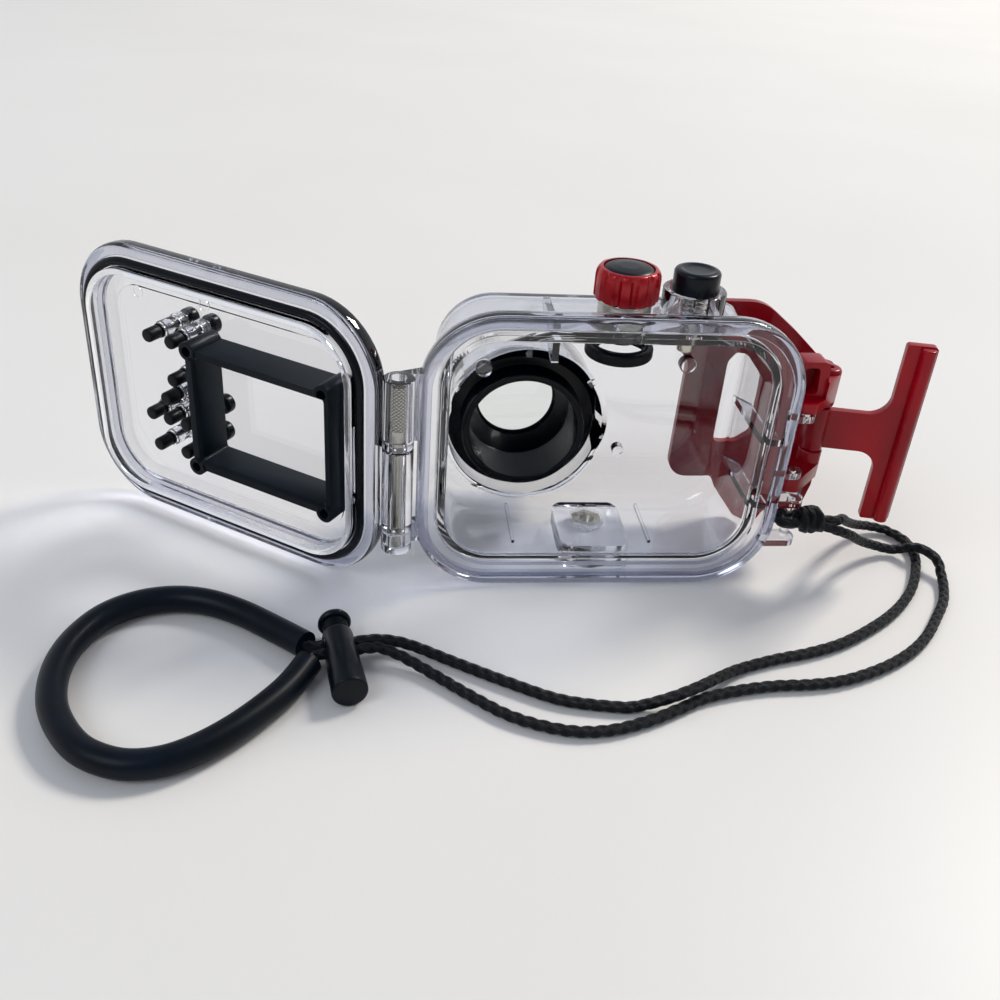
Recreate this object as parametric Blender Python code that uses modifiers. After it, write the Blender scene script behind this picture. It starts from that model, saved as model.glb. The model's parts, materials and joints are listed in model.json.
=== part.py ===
"""Underwater camera housing with its door open, modelled in metres.

+X runs to the latch side, +Y towards the lens port and +Z up. The origin is the middle
of the flat bottom edge of the sealing flange, which the housing stands on.
"""
import math

import bmesh
import bpy
from mathutils import Matrix, Vector

GAP = 0.0003  # between touching pieces

# Sealing flange and tub
FLANGE_WIDTH = 0.130
FLANGE_HEIGHT = 0.104
FLANGE_CORNER = 0.027
FLANGE_THICK = 0.008
FLANGE_EDGE = 0.003
RIM_WIDTH = 0.0042
TUB_INSET = 0.007
TUB_WALL = 0.0034
TUB_DEPTH = 0.044
TUB_FILLET = 0.008
CORNER_STEPS = 6

# Places across the housing are measured from the flange's left edge, and those of the latch and
# the lanyard from its right edge

# Lens port
PORT_FROM_LEFT = 0.0414
PORT_Z = 0.0419
PORT_RADIUS = 0.031
PORT_WALL = 0.0025
PORT_LENGTH = 0.028
PORT_WINDOW_RADIUS = 0.017
GLASS_RADIUS = 0.021
GLASS_THICK = 0.0021
SEAL_THICK = 0.0008
PORT_LIP = 0.0015
BAFFLE_BORE = 0.02175
BAFFLE_WALL = 0.0014
BAFFLE_STOP = 0.0155
BAFFLE_RISE = 0.009
BAFFLE_PLATE = 0.002

# Tripod foot
FOOT_FROM_LEFT = 0.068
FOOT_LENGTH = 0.030
FOOT_WIDTH = 0.026
FOOT_START = 0.008
INSERT_FLATS = 0.011
INSERT_LENGTH = 0.0051
INSERT_BORE = 0.0027

# Door and its hinge
DOOR_GAP = 0.0004
DOOR_THICK = 0.0066
DOOR_PANEL = 0.003
DOOR_EDGE = 0.0022
GASKET_SECTION = 0.003
SPIGOT_WIDTH = 0.0023
SPIGOT_LENGTH = 0.004
HINGE_OUT = 0.0066
HINGE_Y = -0.0073
KNUCKLE_RADIUS = 0.00525
KNUCKLE_BOTTOM = 0.019
KNUCKLE_LOW = 0.027
KNUCKLE_HIGH = 0.059
KNUCKLE_TOP = 0.084
PIN_RADIUS = 0.0016
PIN_HEAD_RADIUS = 0.0024
PIN_HEAD_LENGTH = 0.0195
DOOR_OPEN = math.radians(-213.9)

# Screen hood on the door
HOOD_FROM_LEFT = 0.0403
HOOD_RISE = 0.00315
HOOD_WINDOW_WIDTH = 0.0531
HOOD_WINDOW_HEIGHT = 0.0393
HOOD_WALL = 0.0033
HOOD_DEPTH = 0.0139
HOOD_POST_RADIUS = 0.0033
HOOD_CLEAR = 0.00095
POST_LEFT = 0.0269
POST_RIGHT = 0.0286
POST_HALF_SPAN = 0.02225
SCREW_RADIUS = 0.0008
SCREW_HEAD_RADIUS = 0.0015
SCREW_HEAD_HEIGHT = 0.0012
SCREW_LENGTH = 0.0085
SCREW_BITE = 0.0018

# Push buttons, each at its place from the flange's left edge and its bottom edge, door closed
BUTTON_PLACES = {
    "button_upper_left": (0.0780, 0.0775),
    "button_upper_right": (0.0880, 0.0775),
    "button_playback": (0.0784, 0.0632),
    "button_pad_up": (0.0824, 0.0550),
    "button_pad_left": (0.0743, 0.0470),
    "button_pad_centre": (0.0822, 0.0470),
    "button_pad_right": (0.0901, 0.0470),
    "button_lower_left": (0.0754, 0.0354),
    "button_lower_right": (0.0880, 0.0350),
}
BUTTON_TRAVEL = 0.0022
HEAD_RADIUS = 0.0036
HEAD_LENGTH = 0.0035
STEM_RADIUS = 0.001
OUTER_BOSS_RADIUS = 0.0035
OUTER_BOSS_LENGTH = 0.0030
INNER_BOSS_RADIUS = 0.0031
INNER_BOSS_LENGTH = 0.006
SPRING_WELL_RADIUS = 0.0028
SPRING_WELL_DEPTH = 0.0036
SPRING_RADIUS = 0.0021
SPRING_WIRE = 0.0005
SPRING_CURLS = 3
COLLAR_RADIUS = 0.0026
COLLAR_THICK = 0.0009
TIP_RADIUS = 0.0024
TIP_LENGTH = 0.0055

# Mode dial
DIAL_FROM_LEFT = 0.0685
DIAL_Y = 0.016
KNOB_RADIUS = 0.0109
KNOB_FLUTE = 0.0005
KNOB_FLUTES = 12
KNOB_HEIGHT = 0.0106
COLLAR_HEIGHT = 0.006
DIAL_COLLAR_RADIUS = 0.009
DIAL_CAP_RADIUS = 0.0083
DIAL_CAP_THICK = 0.0015
DIAL_SHAFT_RADIUS = 0.003
GLAND_RADIUS = 0.0065
GLAND_LENGTH = 0.0068
WHEEL_RADIUS = 0.0092
WHEEL_THICK = 0.0026
WHEEL_DROP = 0.0064
TYRE_RADIUS = 0.0117
TYRE_HEIGHT = 0.004

# Shutter button
SHUTTER_FROM_LEFT = 0.092
SHUTTER_Y = 0.017
SHUTTER_CAP_RADIUS = 0.00785
SHUTTER_CAP_HEIGHT = 0.008
SHUTTER_DISH = 0.0006
SHUTTER_RAISE = 0.009
GUARD_RADIUS = 0.01075
GUARD_BORE = 0.0087
GUARD_HEIGHT = 0.010
GUARD_SLOT = 0.0047
SHUTTER_STEM_RADIUS = 0.0015
SHUTTER_SPRING_RADIUS = 0.0042
SHUTTER_SPRING_WIRE = 0.0009
SHUTTER_SPRING_CURLS = 5
SHUTTER_BOSS_RADIUS = 0.0042
SHUTTER_BOSS_LENGTH = 0.0046
PAD_RADIUS = 0.003
PAD_HEIGHT = 0.004

# Latch: lever pivot beside the flange, hook pivot on the lever
LEVER_OUT = 0.0036
LEVER_Y = 0.0005
LEVER_EYE_RADIUS = 0.003
LEVER_LUG_LOW = 0.0445
LEVER_LUG_HIGH = 0.067
LEVER_LUG_THICK = 0.0025
FORK_LOW = 0.0386
FORK_HIGH = 0.080
LATCH_PIN_RADIUS = 0.0011
HOOK_OUT = 0.014
HOOK_Y = 0.013
BARREL_RADIUS = 0.0042
BARREL_LOW = 0.0385
BARREL_HIGH = 0.081
HOOK_LOW = 0.0495
HOOK_HIGH = 0.0665
HOOK_THICK = 0.003
HOOK_ARM = 0.0235
HOOK_REACH = 0.034
BAR_LOW = 0.023
BAR_HIGH = 0.093
LIP_OUT = 0.0307
LIP_DEPTH = 0.0024
LIP_RADIUS = 0.0026
HOOK_REST = math.radians(-12)
LEVER_THICK = 0.0030
LEVER_CLEAR = 0.0016
GRIP_LEFT_IN = 0.0284
GRIP_RIGHT_IN = 0.013
LEVER_TIP_IN = 0.044

# Lanyard bracket, cord and cord lock
BRACKET_REACH = 0.0125
BRACKET_BOTTOM = 0.014
BRACKET_TOP = 0.0345
BRACKET_PLATE = 0.003
BRACKET_WIDTH = 0.007
BRACKET_BAR_RADIUS = 0.0017
BRACKET_BAR_OUT = 0.008
CORD_DIAMETER = 0.0037
WRIST_DIAMETER = 0.009
LOCK_X = -0.0886
LOCK_Y = -0.0527
LOCK_LENGTH = 0.028
LOCK_RADIUS = 0.00575
LOCK_TURN = math.radians(9.9)
PLUNGER_RADIUS = 0.0042
PLUNGER_HEAD_RADIUS = 0.0056
PLUNGER_HEAD_THICK = 0.003
PLUNGER_REACH = 0.0085
LOCK_BORE_DEPTH = 0.022
CORD_SLOT_WIDTH = 0.0092
CORD_SLOT_HEIGHT = 0.0045
CORD_SLOT_FROM_TOP = 0.0062
LOCK_SPRING_RADIUS = 0.0032
LOCK_SPRING_WIRE = 0.0008
LOCK_SPRING_CURLS = 4

SEAL_Y = -FLANGE_THICK / 2
FRONT_Y = SEAL_Y + TUB_DEPTH
INNER_FRONT_Y = FRONT_Y - TUB_WALL
INNER_INSET = TUB_INSET + TUB_WALL
MIDDLE_Z = FLANGE_HEIGHT / 2
TOP_Z = FLANGE_HEIGHT - TUB_INSET
CEILING_Z = TOP_Z - TUB_WALL
SIDE_X = FLANGE_WIDTH / 2
PORT_X = -SIDE_X + PORT_FROM_LEFT
FOOT_X = -SIDE_X + FOOT_FROM_LEFT
HINGE_X = -SIDE_X - HINGE_OUT
HOOD_X = -SIDE_X + HOOD_FROM_LEFT
HOOD_Z = MIDDLE_Z + HOOD_RISE
BUTTONS = {name: (-SIDE_X + x, z) for name, (x, z) in BUTTON_PLACES.items()}
DIAL_X = -SIDE_X + DIAL_FROM_LEFT
SHUTTER_X = -SIDE_X + SHUTTER_FROM_LEFT
LEVER_X = SIDE_X + LEVER_OUT
HOOK_X = SIDE_X + HOOK_OUT
GRIP_LEFT = SIDE_X - GRIP_LEFT_IN
GRIP_RIGHT = SIDE_X - GRIP_RIGHT_IN
LEVER_TIP_X = SIDE_X - LEVER_TIP_IN
BRACKET_BAR_X = SIDE_X + BRACKET_BAR_OUT

COLOURS = {
    "clear": ((0.80, 0.83, 0.88), 0.08, 0.0),
    "glass": ((0.75, 0.82, 0.82), 0.03, 0.0),
    "black_plastic": ((0.012, 0.02, 0.028), 0.4, 0.0),
    "black_rubber": ((0.012, 0.02, 0.026), 0.6, 0.0),
    "red_plastic": ((0.50, 0.005, 0.02), 0.3, 0.0),
    "red_metal": ((0.45, 0.005, 0.02), 0.3, 0.7),
    "steel": ((0.62, 0.62, 0.60), 0.25, 1.0),
    "brass": ((0.55, 0.45, 0.25), 0.35, 1.0),
    "cord": ((0.010, 0.012, 0.016), 0.8, 0.0),
}


def collection(name):
    made = bpy.data.collections.new(name)
    bpy.context.scene.collection.children.link(made)
    return made


for old in list(bpy.data.objects):
    bpy.data.objects.remove(old)
HOUSING = collection("underwater_camera_housing")
CUTTERS = collection("cutters")


def material(name, finish):
    colour, roughness, metallic = COLOURS[finish]
    made = bpy.data.materials.new(name)
    made.use_nodes = True
    shader = made.node_tree.nodes["Principled BSDF"]
    shader.inputs["Base Color"].default_value = (*colour, 1)
    shader.inputs["Roughness"].default_value = roughness
    shader.inputs["Metallic"].default_value = metallic
    return made


def piece(name, mesh, finish=None):
    """An object of the housing, or a guide for Boolean modifiers when it has no finish."""
    made = bpy.data.objects.new(name, mesh)
    if finish:
        HOUSING.objects.link(made)
        mesh.materials.append(material(name, finish))
    else:
        CUTTERS.objects.link(made)
        made.hide_render = True
        made.display_type = "WIRE"
    return made


def finished(name, bm, finish=None):
    mesh = bpy.data.meshes.new(name)
    bmesh.ops.recalc_face_normals(bm, faces=bm.faces)
    bm.to_mesh(mesh)
    bm.free()
    mesh.shade_smooth()
    mesh.set_sharp_from_angle(angle=math.radians(35))
    return piece(name, mesh, finish)


def along(axis, u, v, w):
    """A point from two values across an axis and one along it."""
    return {"X": (w, u, v), "Y": (u, w, v), "Z": (u, v, w)}[axis]


def loft(name, rings, finish=None):
    """Skin a row of rings with equal counts, and cap its ends."""
    bm = bmesh.new()
    made = [[bm.verts.new(point) for point in ring] for ring in rings]
    for first, second in zip(made, made[1:]):
        for i in range(len(first)):
            j = (i + 1) % len(first)
            bm.faces.new((first[i], first[j], second[j], second[i]))
    bm.faces.new(made[0])
    bm.faces.new(made[-1])
    return finished(name, bm, finish)


def prism(name, outline, low, high, axis="Z", finish=None):
    bm = bmesh.new()
    face = bm.faces.new([bm.verts.new(along(axis, u, v, low)) for u, v in outline])
    grown = bmesh.ops.extrude_face_region(bm, geom=[face])["geom"]
    bmesh.ops.translate(bm, verts=[v for v in grown if isinstance(v, bmesh.types.BMVert)],
                        vec=along(axis, 0, 0, high - low))
    return finished(name, bm, finish)


def cylinder(name, radius, u, v, low, high, axis="Z", finish=None, steps=24):
    bm = bmesh.new()
    turn = {"X": Matrix.Rotation(math.pi / 2, 4, "Y"), "Y": Matrix.Rotation(math.pi / 2, 4, "X"),
            "Z": Matrix.Identity(4)}[axis]
    place = Matrix.Translation(along(axis, u, v, (low + high) / 2)) @ turn
    bmesh.ops.create_cone(bm, cap_ends=True, segments=steps, radius1=radius, radius2=radius,
                          depth=high - low, matrix=place)
    return finished(name, bm, finish)


def box(name, low, high, finish=None):
    bm = bmesh.new()
    size = Vector(high) - Vector(low)
    place = Matrix.Translation((Vector(low) + Vector(high)) / 2) @ Matrix.Diagonal((*size, 1))
    bmesh.ops.create_cube(bm, size=1, matrix=place)
    return finished(name, bm, finish)


def rounded(points, radius, steps=3):
    """Round the corners of an outline. A radius is one value, or one for each corner."""
    radii = radius if isinstance(radius, (list, tuple)) else [radius] * len(points)
    made = []
    for i, size in enumerate(radii):
        corner = Vector(points[i])
        before = Vector(points[i - 1]) - corner
        after = Vector(points[(i + 1) % len(points)]) - corner
        if size == 0:
            made.append(tuple(corner))
            continue
        half = before.angle(after) / 2
        reach = min(size / math.tan(half), 0.49 * before.length, 0.49 * after.length)
        size = reach * math.tan(half)
        middle = corner + (before.normalized() + after.normalized()).normalized() * size / math.sin(half)
        start = corner + before.normalized() * reach - middle
        turn = start.angle_signed(corner + after.normalized() * reach - middle)
        for k in range(steps + 1):
            spoke = Matrix.Rotation(-turn * k / steps, 2) @ start
            made.append(tuple(middle + spoke))
    return made


def frame_ring(inset, y):
    """The flange's rounded outline, drawn in by an inset."""
    half_width = FLANGE_WIDTH / 2 - inset
    half_height = FLANGE_HEIGHT / 2 - inset
    radius = max(FLANGE_CORNER - inset, 0.001)
    made = []
    for quarter in range(4):
        side = (1, -1, -1, 1)[quarter]
        rise = (1, 1, -1, -1)[quarter]
        centre_x = side * (half_width - radius)
        centre_z = MIDDLE_Z + rise * (half_height - radius)
        for step in range(CORNER_STEPS + 1):
            a = math.pi / 2 * (quarter + step / CORNER_STEPS)
            made.append((centre_x + radius * math.cos(a), y, centre_z + radius * math.sin(a)))
    return made


def quarter_round(inset, y, radius, start, turn, steps):
    """Points of a quarter turn round a centre, as pairs of inset and y. The turn is 1 or -1."""
    angles = [start + turn * math.pi / 2 * k / steps for k in range(steps + 1)]
    return [(inset + radius * math.cos(a), y + radius * math.sin(a)) for a in angles]


def turned(name, profile, location, axis="Z", finish=None, steps=32, closed=False):
    """A profile of radius and height, turned about an axis with a Screw modifier."""
    mesh = bpy.data.meshes.new(name)
    links = [(i, i + 1) for i in range(len(profile) - 1)]
    if closed:
        links.append((len(profile) - 1, 0))
    mesh.from_pydata([(r, 0, h) for r, h in profile], links, [])
    made = piece(name, mesh, finish)
    screw = made.modifiers.new("turn", "SCREW")
    screw.steps = steps
    screw.render_steps = steps
    screw.use_merge_vertices = True
    screw.merge_threshold = 0.00001
    screw.use_smooth_shade = True
    made.location = location
    if axis == "Y":
        made.rotation_euler = (-math.pi / 2, 0, 0)
    return made


def boolean(target, other, operation):
    made = target.modifiers.new(other.name, "BOOLEAN")
    made.operation = operation
    made.solver = "EXACT"
    made.object = other


def cut(target, *others):
    for other in others:
        boolean(target, other, "DIFFERENCE")


def add(target, *others):
    for other in others:
        boolean(target, other, "UNION")


def tube(name, points, diameter, finish, resolution=2, closed=False, thin=()):
    """A round tube along points. Those whose numbers are in thin have the cord's diameter."""
    curve = bpy.data.curves.new(name, "CURVE")
    curve.dimensions = "3D"
    curve.bevel_depth = diameter / 2
    curve.bevel_resolution = resolution
    curve.use_fill_caps = not closed
    spline = curve.splines.new("POLY")
    spline.points.add(len(points) - 1)
    spline.use_cyclic_u = closed
    for number, (target, point) in enumerate(zip(spline.points, points)):
        target.co = (*point, 1)
        if number in thin:
            target.radius = CORD_DIAMETER / diameter
    made = bpy.data.objects.new(name, curve)
    HOUSING.objects.link(made)
    curve.materials.append(material(name, finish))
    return made


def smooth_route(route, spacing):
    """Even points along a smooth curve through a hand-chosen route."""
    points = [Vector(p) for p in route]
    dense = []
    for i in range(len(points) - 1):
        before = points[max(i - 1, 0)]
        after = points[min(i + 2, len(points) - 1)]
        start, end = points[i], points[i + 1]
        for k in range(16):
            t = k / 16
            dense.append(0.5 * (2 * start + (end - before) * t
                                + (2 * before - 5 * start + 4 * end - after) * t * t
                                + (3 * start - before - 3 * end + after) * t ** 3))
    dense.append(points[-1])
    lengths = [0.0]
    for first, second in zip(dense, dense[1:]):
        lengths.append(lengths[-1] + (second - first).length)
    count = max(2, round(lengths[-1] / spacing))
    made = []
    at = 0
    for k in range(count + 1):
        wanted = lengths[-1] * k / count
        while at < len(dense) - 2 and lengths[at + 1] < wanted:
            at += 1
        share = (wanted - lengths[at]) / (lengths[at + 1] - lengths[at])
        made.append(dense[at].lerp(dense[at + 1], min(share, 1)))
    return made


def coil_points(radius, wire, length, curls, per_curl=8):
    """A helix about Z from 0 to a length, its wire's ends inside that length."""
    count = curls * per_curl
    run = length - wire
    made = []
    for i in range(count + 1):
        a = 2 * math.pi * i / per_curl
        made.append(Vector((radius * math.cos(a), radius * math.sin(a), wire / 2 + run * i / count)))
    return made


def report_gap(name, wire, length, curls):
    print(name, "least gap to itself", round(((length - wire) / curls - wire) * 1000, 2), "mm")


def pivot(name, x, y, turn=0.0):
    """An empty on a joint's axis."""
    made = bpy.data.objects.new(name, None)
    made.location = (x, y, 0)
    made.rotation_euler = (0, 0, turn)
    HOUSING.objects.link(made)
    return made


def carry(parent, *children):
    """Hang pieces, drawn where they lie before the parent turns, on the parent."""
    for child in children:
        child.parent = parent
        child.location = Vector(child.location) - Vector(parent.location)


def guides_of(*owners):
    """The guides that cut or join these pieces."""
    return [m.object for owner in owners for m in owner.modifiers if m.type == "BOOLEAN"]


# Body shell: one clear moulding, open at the back
def tub():
    inner_round = TUB_FILLET - TUB_WALL
    profile = quarter_round(INNER_INSET + inner_round, INNER_FRONT_Y - inner_round, inner_round,
                            math.pi / 2, 1, 3)
    profile += [(INNER_INSET, SPIGOT_SEAT_Y), (SPIGOT_OUTER - GAP, SPIGOT_SEAT_Y),
                (SPIGOT_OUTER - GAP, GASKET_SEAT_Y), (RIM_WIDTH, GASKET_SEAT_Y), (RIM_WIDTH, SEAL_Y)]
    profile += quarter_round(FLANGE_EDGE, SEAL_Y + FLANGE_EDGE, FLANGE_EDGE, -math.pi / 2, -1, 3)
    profile += quarter_round(FLANGE_EDGE, -SEAL_Y - FLANGE_EDGE, FLANGE_EDGE, math.pi, -1, 3)
    profile += [(TUB_INSET, -SEAL_Y)]
    profile += quarter_round(TUB_INSET + TUB_FILLET, FRONT_Y - TUB_FILLET, TUB_FILLET, math.pi, -1, 4)
    return loft("body_shell", [frame_ring(i, y) for i, y in profile], "clear")


GASKET_GROOVE_Y = SEAL_Y - DOOR_GAP - 0.001
GASKET_Y = GASKET_GROOVE_Y + GAP + GASKET_SECTION / 2
GASKET_INSET = RIM_WIDTH + GAP + GASKET_SECTION / 2
GASKET_SEAT_Y = GASKET_Y + GASKET_SECTION / 2 + GAP
SPIGOT_OUTER = GASKET_INSET + GASKET_SECTION / 2 + GAP
SPIGOT_TIP_Y = SEAL_Y - DOOR_GAP + SPIGOT_LENGTH
SPIGOT_SEAT_Y = SPIGOT_TIP_Y + DOOR_GAP
shell = tub()

port_front = FRONT_Y + PORT_LENGTH
seat_y = port_front - GLASS_THICK - SEAL_THICK - 2 * GAP
port_bore_end = seat_y - PORT_LIP
port_bore = PORT_RADIUS - PORT_WALL
cut(shell, cylinder("port_hole", port_bore + 0.001, PORT_X, PORT_Z, INNER_FRONT_Y - 0.001, FRONT_Y + 0.001,
                    "Y", steps=36))
add(shell, turned("port_barrel", [
    (GLASS_RADIUS + GAP, port_front), (PORT_RADIUS - 0.0005, port_front), (PORT_RADIUS, port_front - 0.0005),
    (PORT_RADIUS, INNER_FRONT_Y + 0.0005), (port_bore, INNER_FRONT_Y + 0.0005), (port_bore, port_bore_end),
    (PORT_WINDOW_RADIUS, port_bore_end), (PORT_WINDOW_RADIUS, seat_y), (GLASS_RADIUS + GAP, seat_y)],
    (PORT_X, 0, PORT_Z), "Y", steps=36, closed=True))

foot_outline = rounded([(FOOT_X - FOOT_WIDTH / 2, FOOT_START), (FOOT_X + FOOT_WIDTH / 2, FOOT_START),
                        (FOOT_X + FOOT_WIDTH / 2, FOOT_START + FOOT_LENGTH),
                        (FOOT_X - FOOT_WIDTH / 2, FOOT_START + FOOT_LENGTH)], 0.004)
INSERT_Y = FOOT_START + FOOT_LENGTH * 0.7
insert_radius = INSERT_FLATS / math.sqrt(3)
add(shell, prism("tripod_foot", foot_outline, 0, TUB_INSET + TUB_WALL / 2))
cut(shell, cylinder("insert_pocket", insert_radius + GAP * 2, FOOT_X, INSERT_Y, -0.001,
                    INSERT_LENGTH + 3 * GAP, steps=6))

for number, rib_x in enumerate((-0.0284, 0.0229)):
    add(shell, box(f"floor_rib_{number}", (rib_x - 0.0005, 0.008, INNER_INSET - 0.001),
                   (rib_x + 0.0005, INNER_FRONT_Y - 0.003, INNER_INSET + 0.0012)))
for number, (post_x, post_z, post_radius) in enumerate(((-0.0402, 0.0682, 0.0031), (0.0347, 0.0713, 0.0031),
                                                        (0.0129, 0.0354, 0.0022))):
    add(shell, cylinder(f"rest_post_{number}", post_radius, post_x, post_z, INNER_FRONT_Y - 0.0035,
                        INNER_FRONT_Y + 0.001, "Y", steps=16))
add(shell, prism("ceiling_fin", [(0.006, CEILING_Z + 0.001), (0.006, 0.084), (0.010, 0.084),
                                 (0.034, 0.0915), (0.034, CEILING_Z + 0.001)], -0.0212, -0.0188, "X"))

add(shell, turned("shutter_guard", [(GUARD_BORE, GUARD_HEIGHT), (GUARD_RADIUS, GUARD_HEIGHT),
                                    (GUARD_RADIUS, -0.001), (GUARD_BORE, -0.001)],
                  (SHUTTER_X, SHUTTER_Y, TOP_Z), closed=True))
cut(shell, box("guard_slot", (SHUTTER_X - GUARD_SLOT / 2, SHUTTER_Y - GUARD_RADIUS - 0.001, TOP_Z + 0.0015),
               (SHUTTER_X + GUARD_SLOT / 2, SHUTTER_Y, TOP_Z + GUARD_HEIGHT + 0.001)))
boss_bottom = CEILING_Z - SHUTTER_BOSS_LENGTH
add(shell, cylinder("shutter_boss", SHUTTER_BOSS_RADIUS, SHUTTER_X, SHUTTER_Y, boss_bottom,
                    CEILING_Z + 0.001, steps=20))
cut(shell,
    cylinder("shutter_bore", SHUTTER_STEM_RADIUS + GAP, SHUTTER_X, SHUTTER_Y, boss_bottom - 0.001,
             TOP_Z + 0.001, steps=16),
    cylinder("dial_bore", GLAND_RADIUS + GAP, DIAL_X, DIAL_Y, CEILING_Z - 0.002, TOP_Z + 0.001, steps=24))


# Door hinge: a knuckle at the top and one below on the shell, a long one on the door
def knuckle(name, low, high):
    return cylinder(name, KNUCKLE_RADIUS, HINGE_X, HINGE_Y, low, high, steps=20)


def shell_arm(name, low, high):
    reach = -SIDE_X - HINGE_X
    outline = [(0, KNUCKLE_RADIUS), (reach + 0.0014, 0.0088), (reach + 0.0014, -SEAL_Y / 2 + 0.0016),
               (0.0052, -SEAL_Y / 2 + 0.0016), (0.0030, 0.0008), (0, 0.0008)]
    return prism(name, [(HINGE_X + u, HINGE_Y + v) for u, v in outline], low + GAP, high - GAP)


for name, low, high in (("lower", KNUCKLE_BOTTOM, KNUCKLE_LOW), ("upper", KNUCKLE_HIGH, KNUCKLE_TOP)):
    add(shell, shell_arm(f"{name}_shell_arm", low, high), knuckle(f"{name}_shell_knuckle", low, high))
pin_low = KNUCKLE_BOTTOM + 0.002
pin_high = KNUCKLE_TOP - 0.0025
pin_head = pin_high - PIN_HEAD_LENGTH
cut(shell,
    cylinder("pin_bore", PIN_RADIUS + GAP, HINGE_X, HINGE_Y, pin_low - GAP, KNUCKLE_TOP + 0.001, steps=16),
    cylinder("pin_head_bore", PIN_HEAD_RADIUS + GAP, HINGE_X, HINGE_Y, pin_head - GAP, KNUCKLE_TOP + 0.001,
             steps=16))
turned("hinge_pin", [(0, pin_high), (PIN_HEAD_RADIUS, pin_high), (PIN_HEAD_RADIUS, pin_head),
                     (PIN_RADIUS, pin_head), (PIN_RADIUS, pin_low), (0, pin_low)],
       (HINGE_X, HINGE_Y, 0), finish="steel", steps=16)

# Latch lugs, side ribs and lanyard bracket on the flange's right edge
for name, low in (("low_lug", LEVER_LUG_LOW), ("high_lug", LEVER_LUG_HIGH)):
    outline = [(SIDE_X - 0.002, LEVER_Y - LEVER_EYE_RADIUS), (LEVER_X, LEVER_Y - LEVER_EYE_RADIUS),
               (LEVER_X + LEVER_EYE_RADIUS, LEVER_Y - LEVER_EYE_RADIUS),
               (LEVER_X + LEVER_EYE_RADIUS, LEVER_Y + LEVER_EYE_RADIUS),
               (LEVER_X, LEVER_Y + LEVER_EYE_RADIUS),
               (SIDE_X - 0.002, LEVER_Y + LEVER_EYE_RADIUS)]
    lug = prism(name, rounded(outline, [0, 0, 0.0028, 0.0028, 0, 0]), low, low + LEVER_LUG_THICK)
    add(shell, lug)
    cut(shell, cylinder(f"{name}_bore", LATCH_PIN_RADIUS + GAP, LEVER_X, LEVER_Y, low - 0.001,
                        low + LEVER_LUG_THICK + 0.001, steps=12))
for number, rib_z in enumerate((0.031, 0.057)):
    add(shell, prism(f"side_rib_{number}", [(SIDE_X - TUB_INSET - 0.001, 0.003), (SIDE_X - 0.0025, 0.003),
                                            (SIDE_X - 0.0025, 0.030), (SIDE_X - TUB_INSET - 0.001, 0.038)],
                     rib_z - 0.0013, rib_z + 0.0013))
bracket_end = SIDE_X + BRACKET_REACH
for name, low in (("bracket_foot", BRACKET_BOTTOM), ("bracket_head", BRACKET_TOP - BRACKET_PLATE)):
    outline = rounded([(SIDE_X - 0.004, -BRACKET_WIDTH / 2), (bracket_end, -BRACKET_WIDTH / 2),
                       (bracket_end, BRACKET_WIDTH / 2), (SIDE_X - 0.004, BRACKET_WIDTH / 2)],
                      [0, 0.003, 0.003, 0])
    add(shell, prism(name, outline, low, low + BRACKET_PLATE))
add(shell, cylinder("bracket_bar", BRACKET_BAR_RADIUS, BRACKET_BAR_X, 0, BRACKET_BOTTOM + 0.001,
                    BRACKET_TOP - 0.001, steps=12))

# Lens port pieces
baffle_outer = BAFFLE_BORE + BAFFLE_WALL
baffle_front = port_bore_end - GAP
plate_y = INNER_FRONT_Y + BAFFLE_RISE
rear_y = INNER_FRONT_Y - 0.0001
stop_outer = BAFFLE_STOP + BAFFLE_WALL
turned("lens_baffle", [(BAFFLE_STOP, baffle_front), (stop_outer, baffle_front),
                       (baffle_outer, baffle_front - 0.006), (baffle_outer, plate_y + BAFFLE_PLATE),
                       (PORT_RADIUS - PORT_WALL - GAP, plate_y + BAFFLE_PLATE),
                       (PORT_RADIUS - PORT_WALL - GAP, plate_y), (baffle_outer, plate_y),
                       (baffle_outer, rear_y), (BAFFLE_BORE, rear_y), (BAFFLE_BORE, baffle_front - 0.007)],
       (PORT_X, 0, PORT_Z), "Y", "black_plastic", steps=36, closed=True)
seal_y = seat_y + GAP
turned("port_seal", [(PORT_WINDOW_RADIUS + GAP, seal_y + SEAL_THICK), (GLASS_RADIUS, seal_y + SEAL_THICK),
                     (GLASS_RADIUS, seal_y), (PORT_WINDOW_RADIUS + GAP, seal_y)],
       (PORT_X, 0, PORT_Z), "Y", "black_rubber", steps=32, closed=True)
glass_y = seal_y + SEAL_THICK + GAP
cylinder("port_glass", GLASS_RADIUS, PORT_X, PORT_Z, glass_y, glass_y + GLASS_THICK, "Y", "glass", steps=32)

insert = cylinder("tripod_insert", insert_radius, FOOT_X, INSERT_Y, GAP, GAP + INSERT_LENGTH,
                  finish="brass", steps=6)
cut(insert, cylinder("insert_bore", INSERT_BORE, FOOT_X, INSERT_Y, -0.001, INSERT_LENGTH + 0.001, steps=16))


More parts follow.
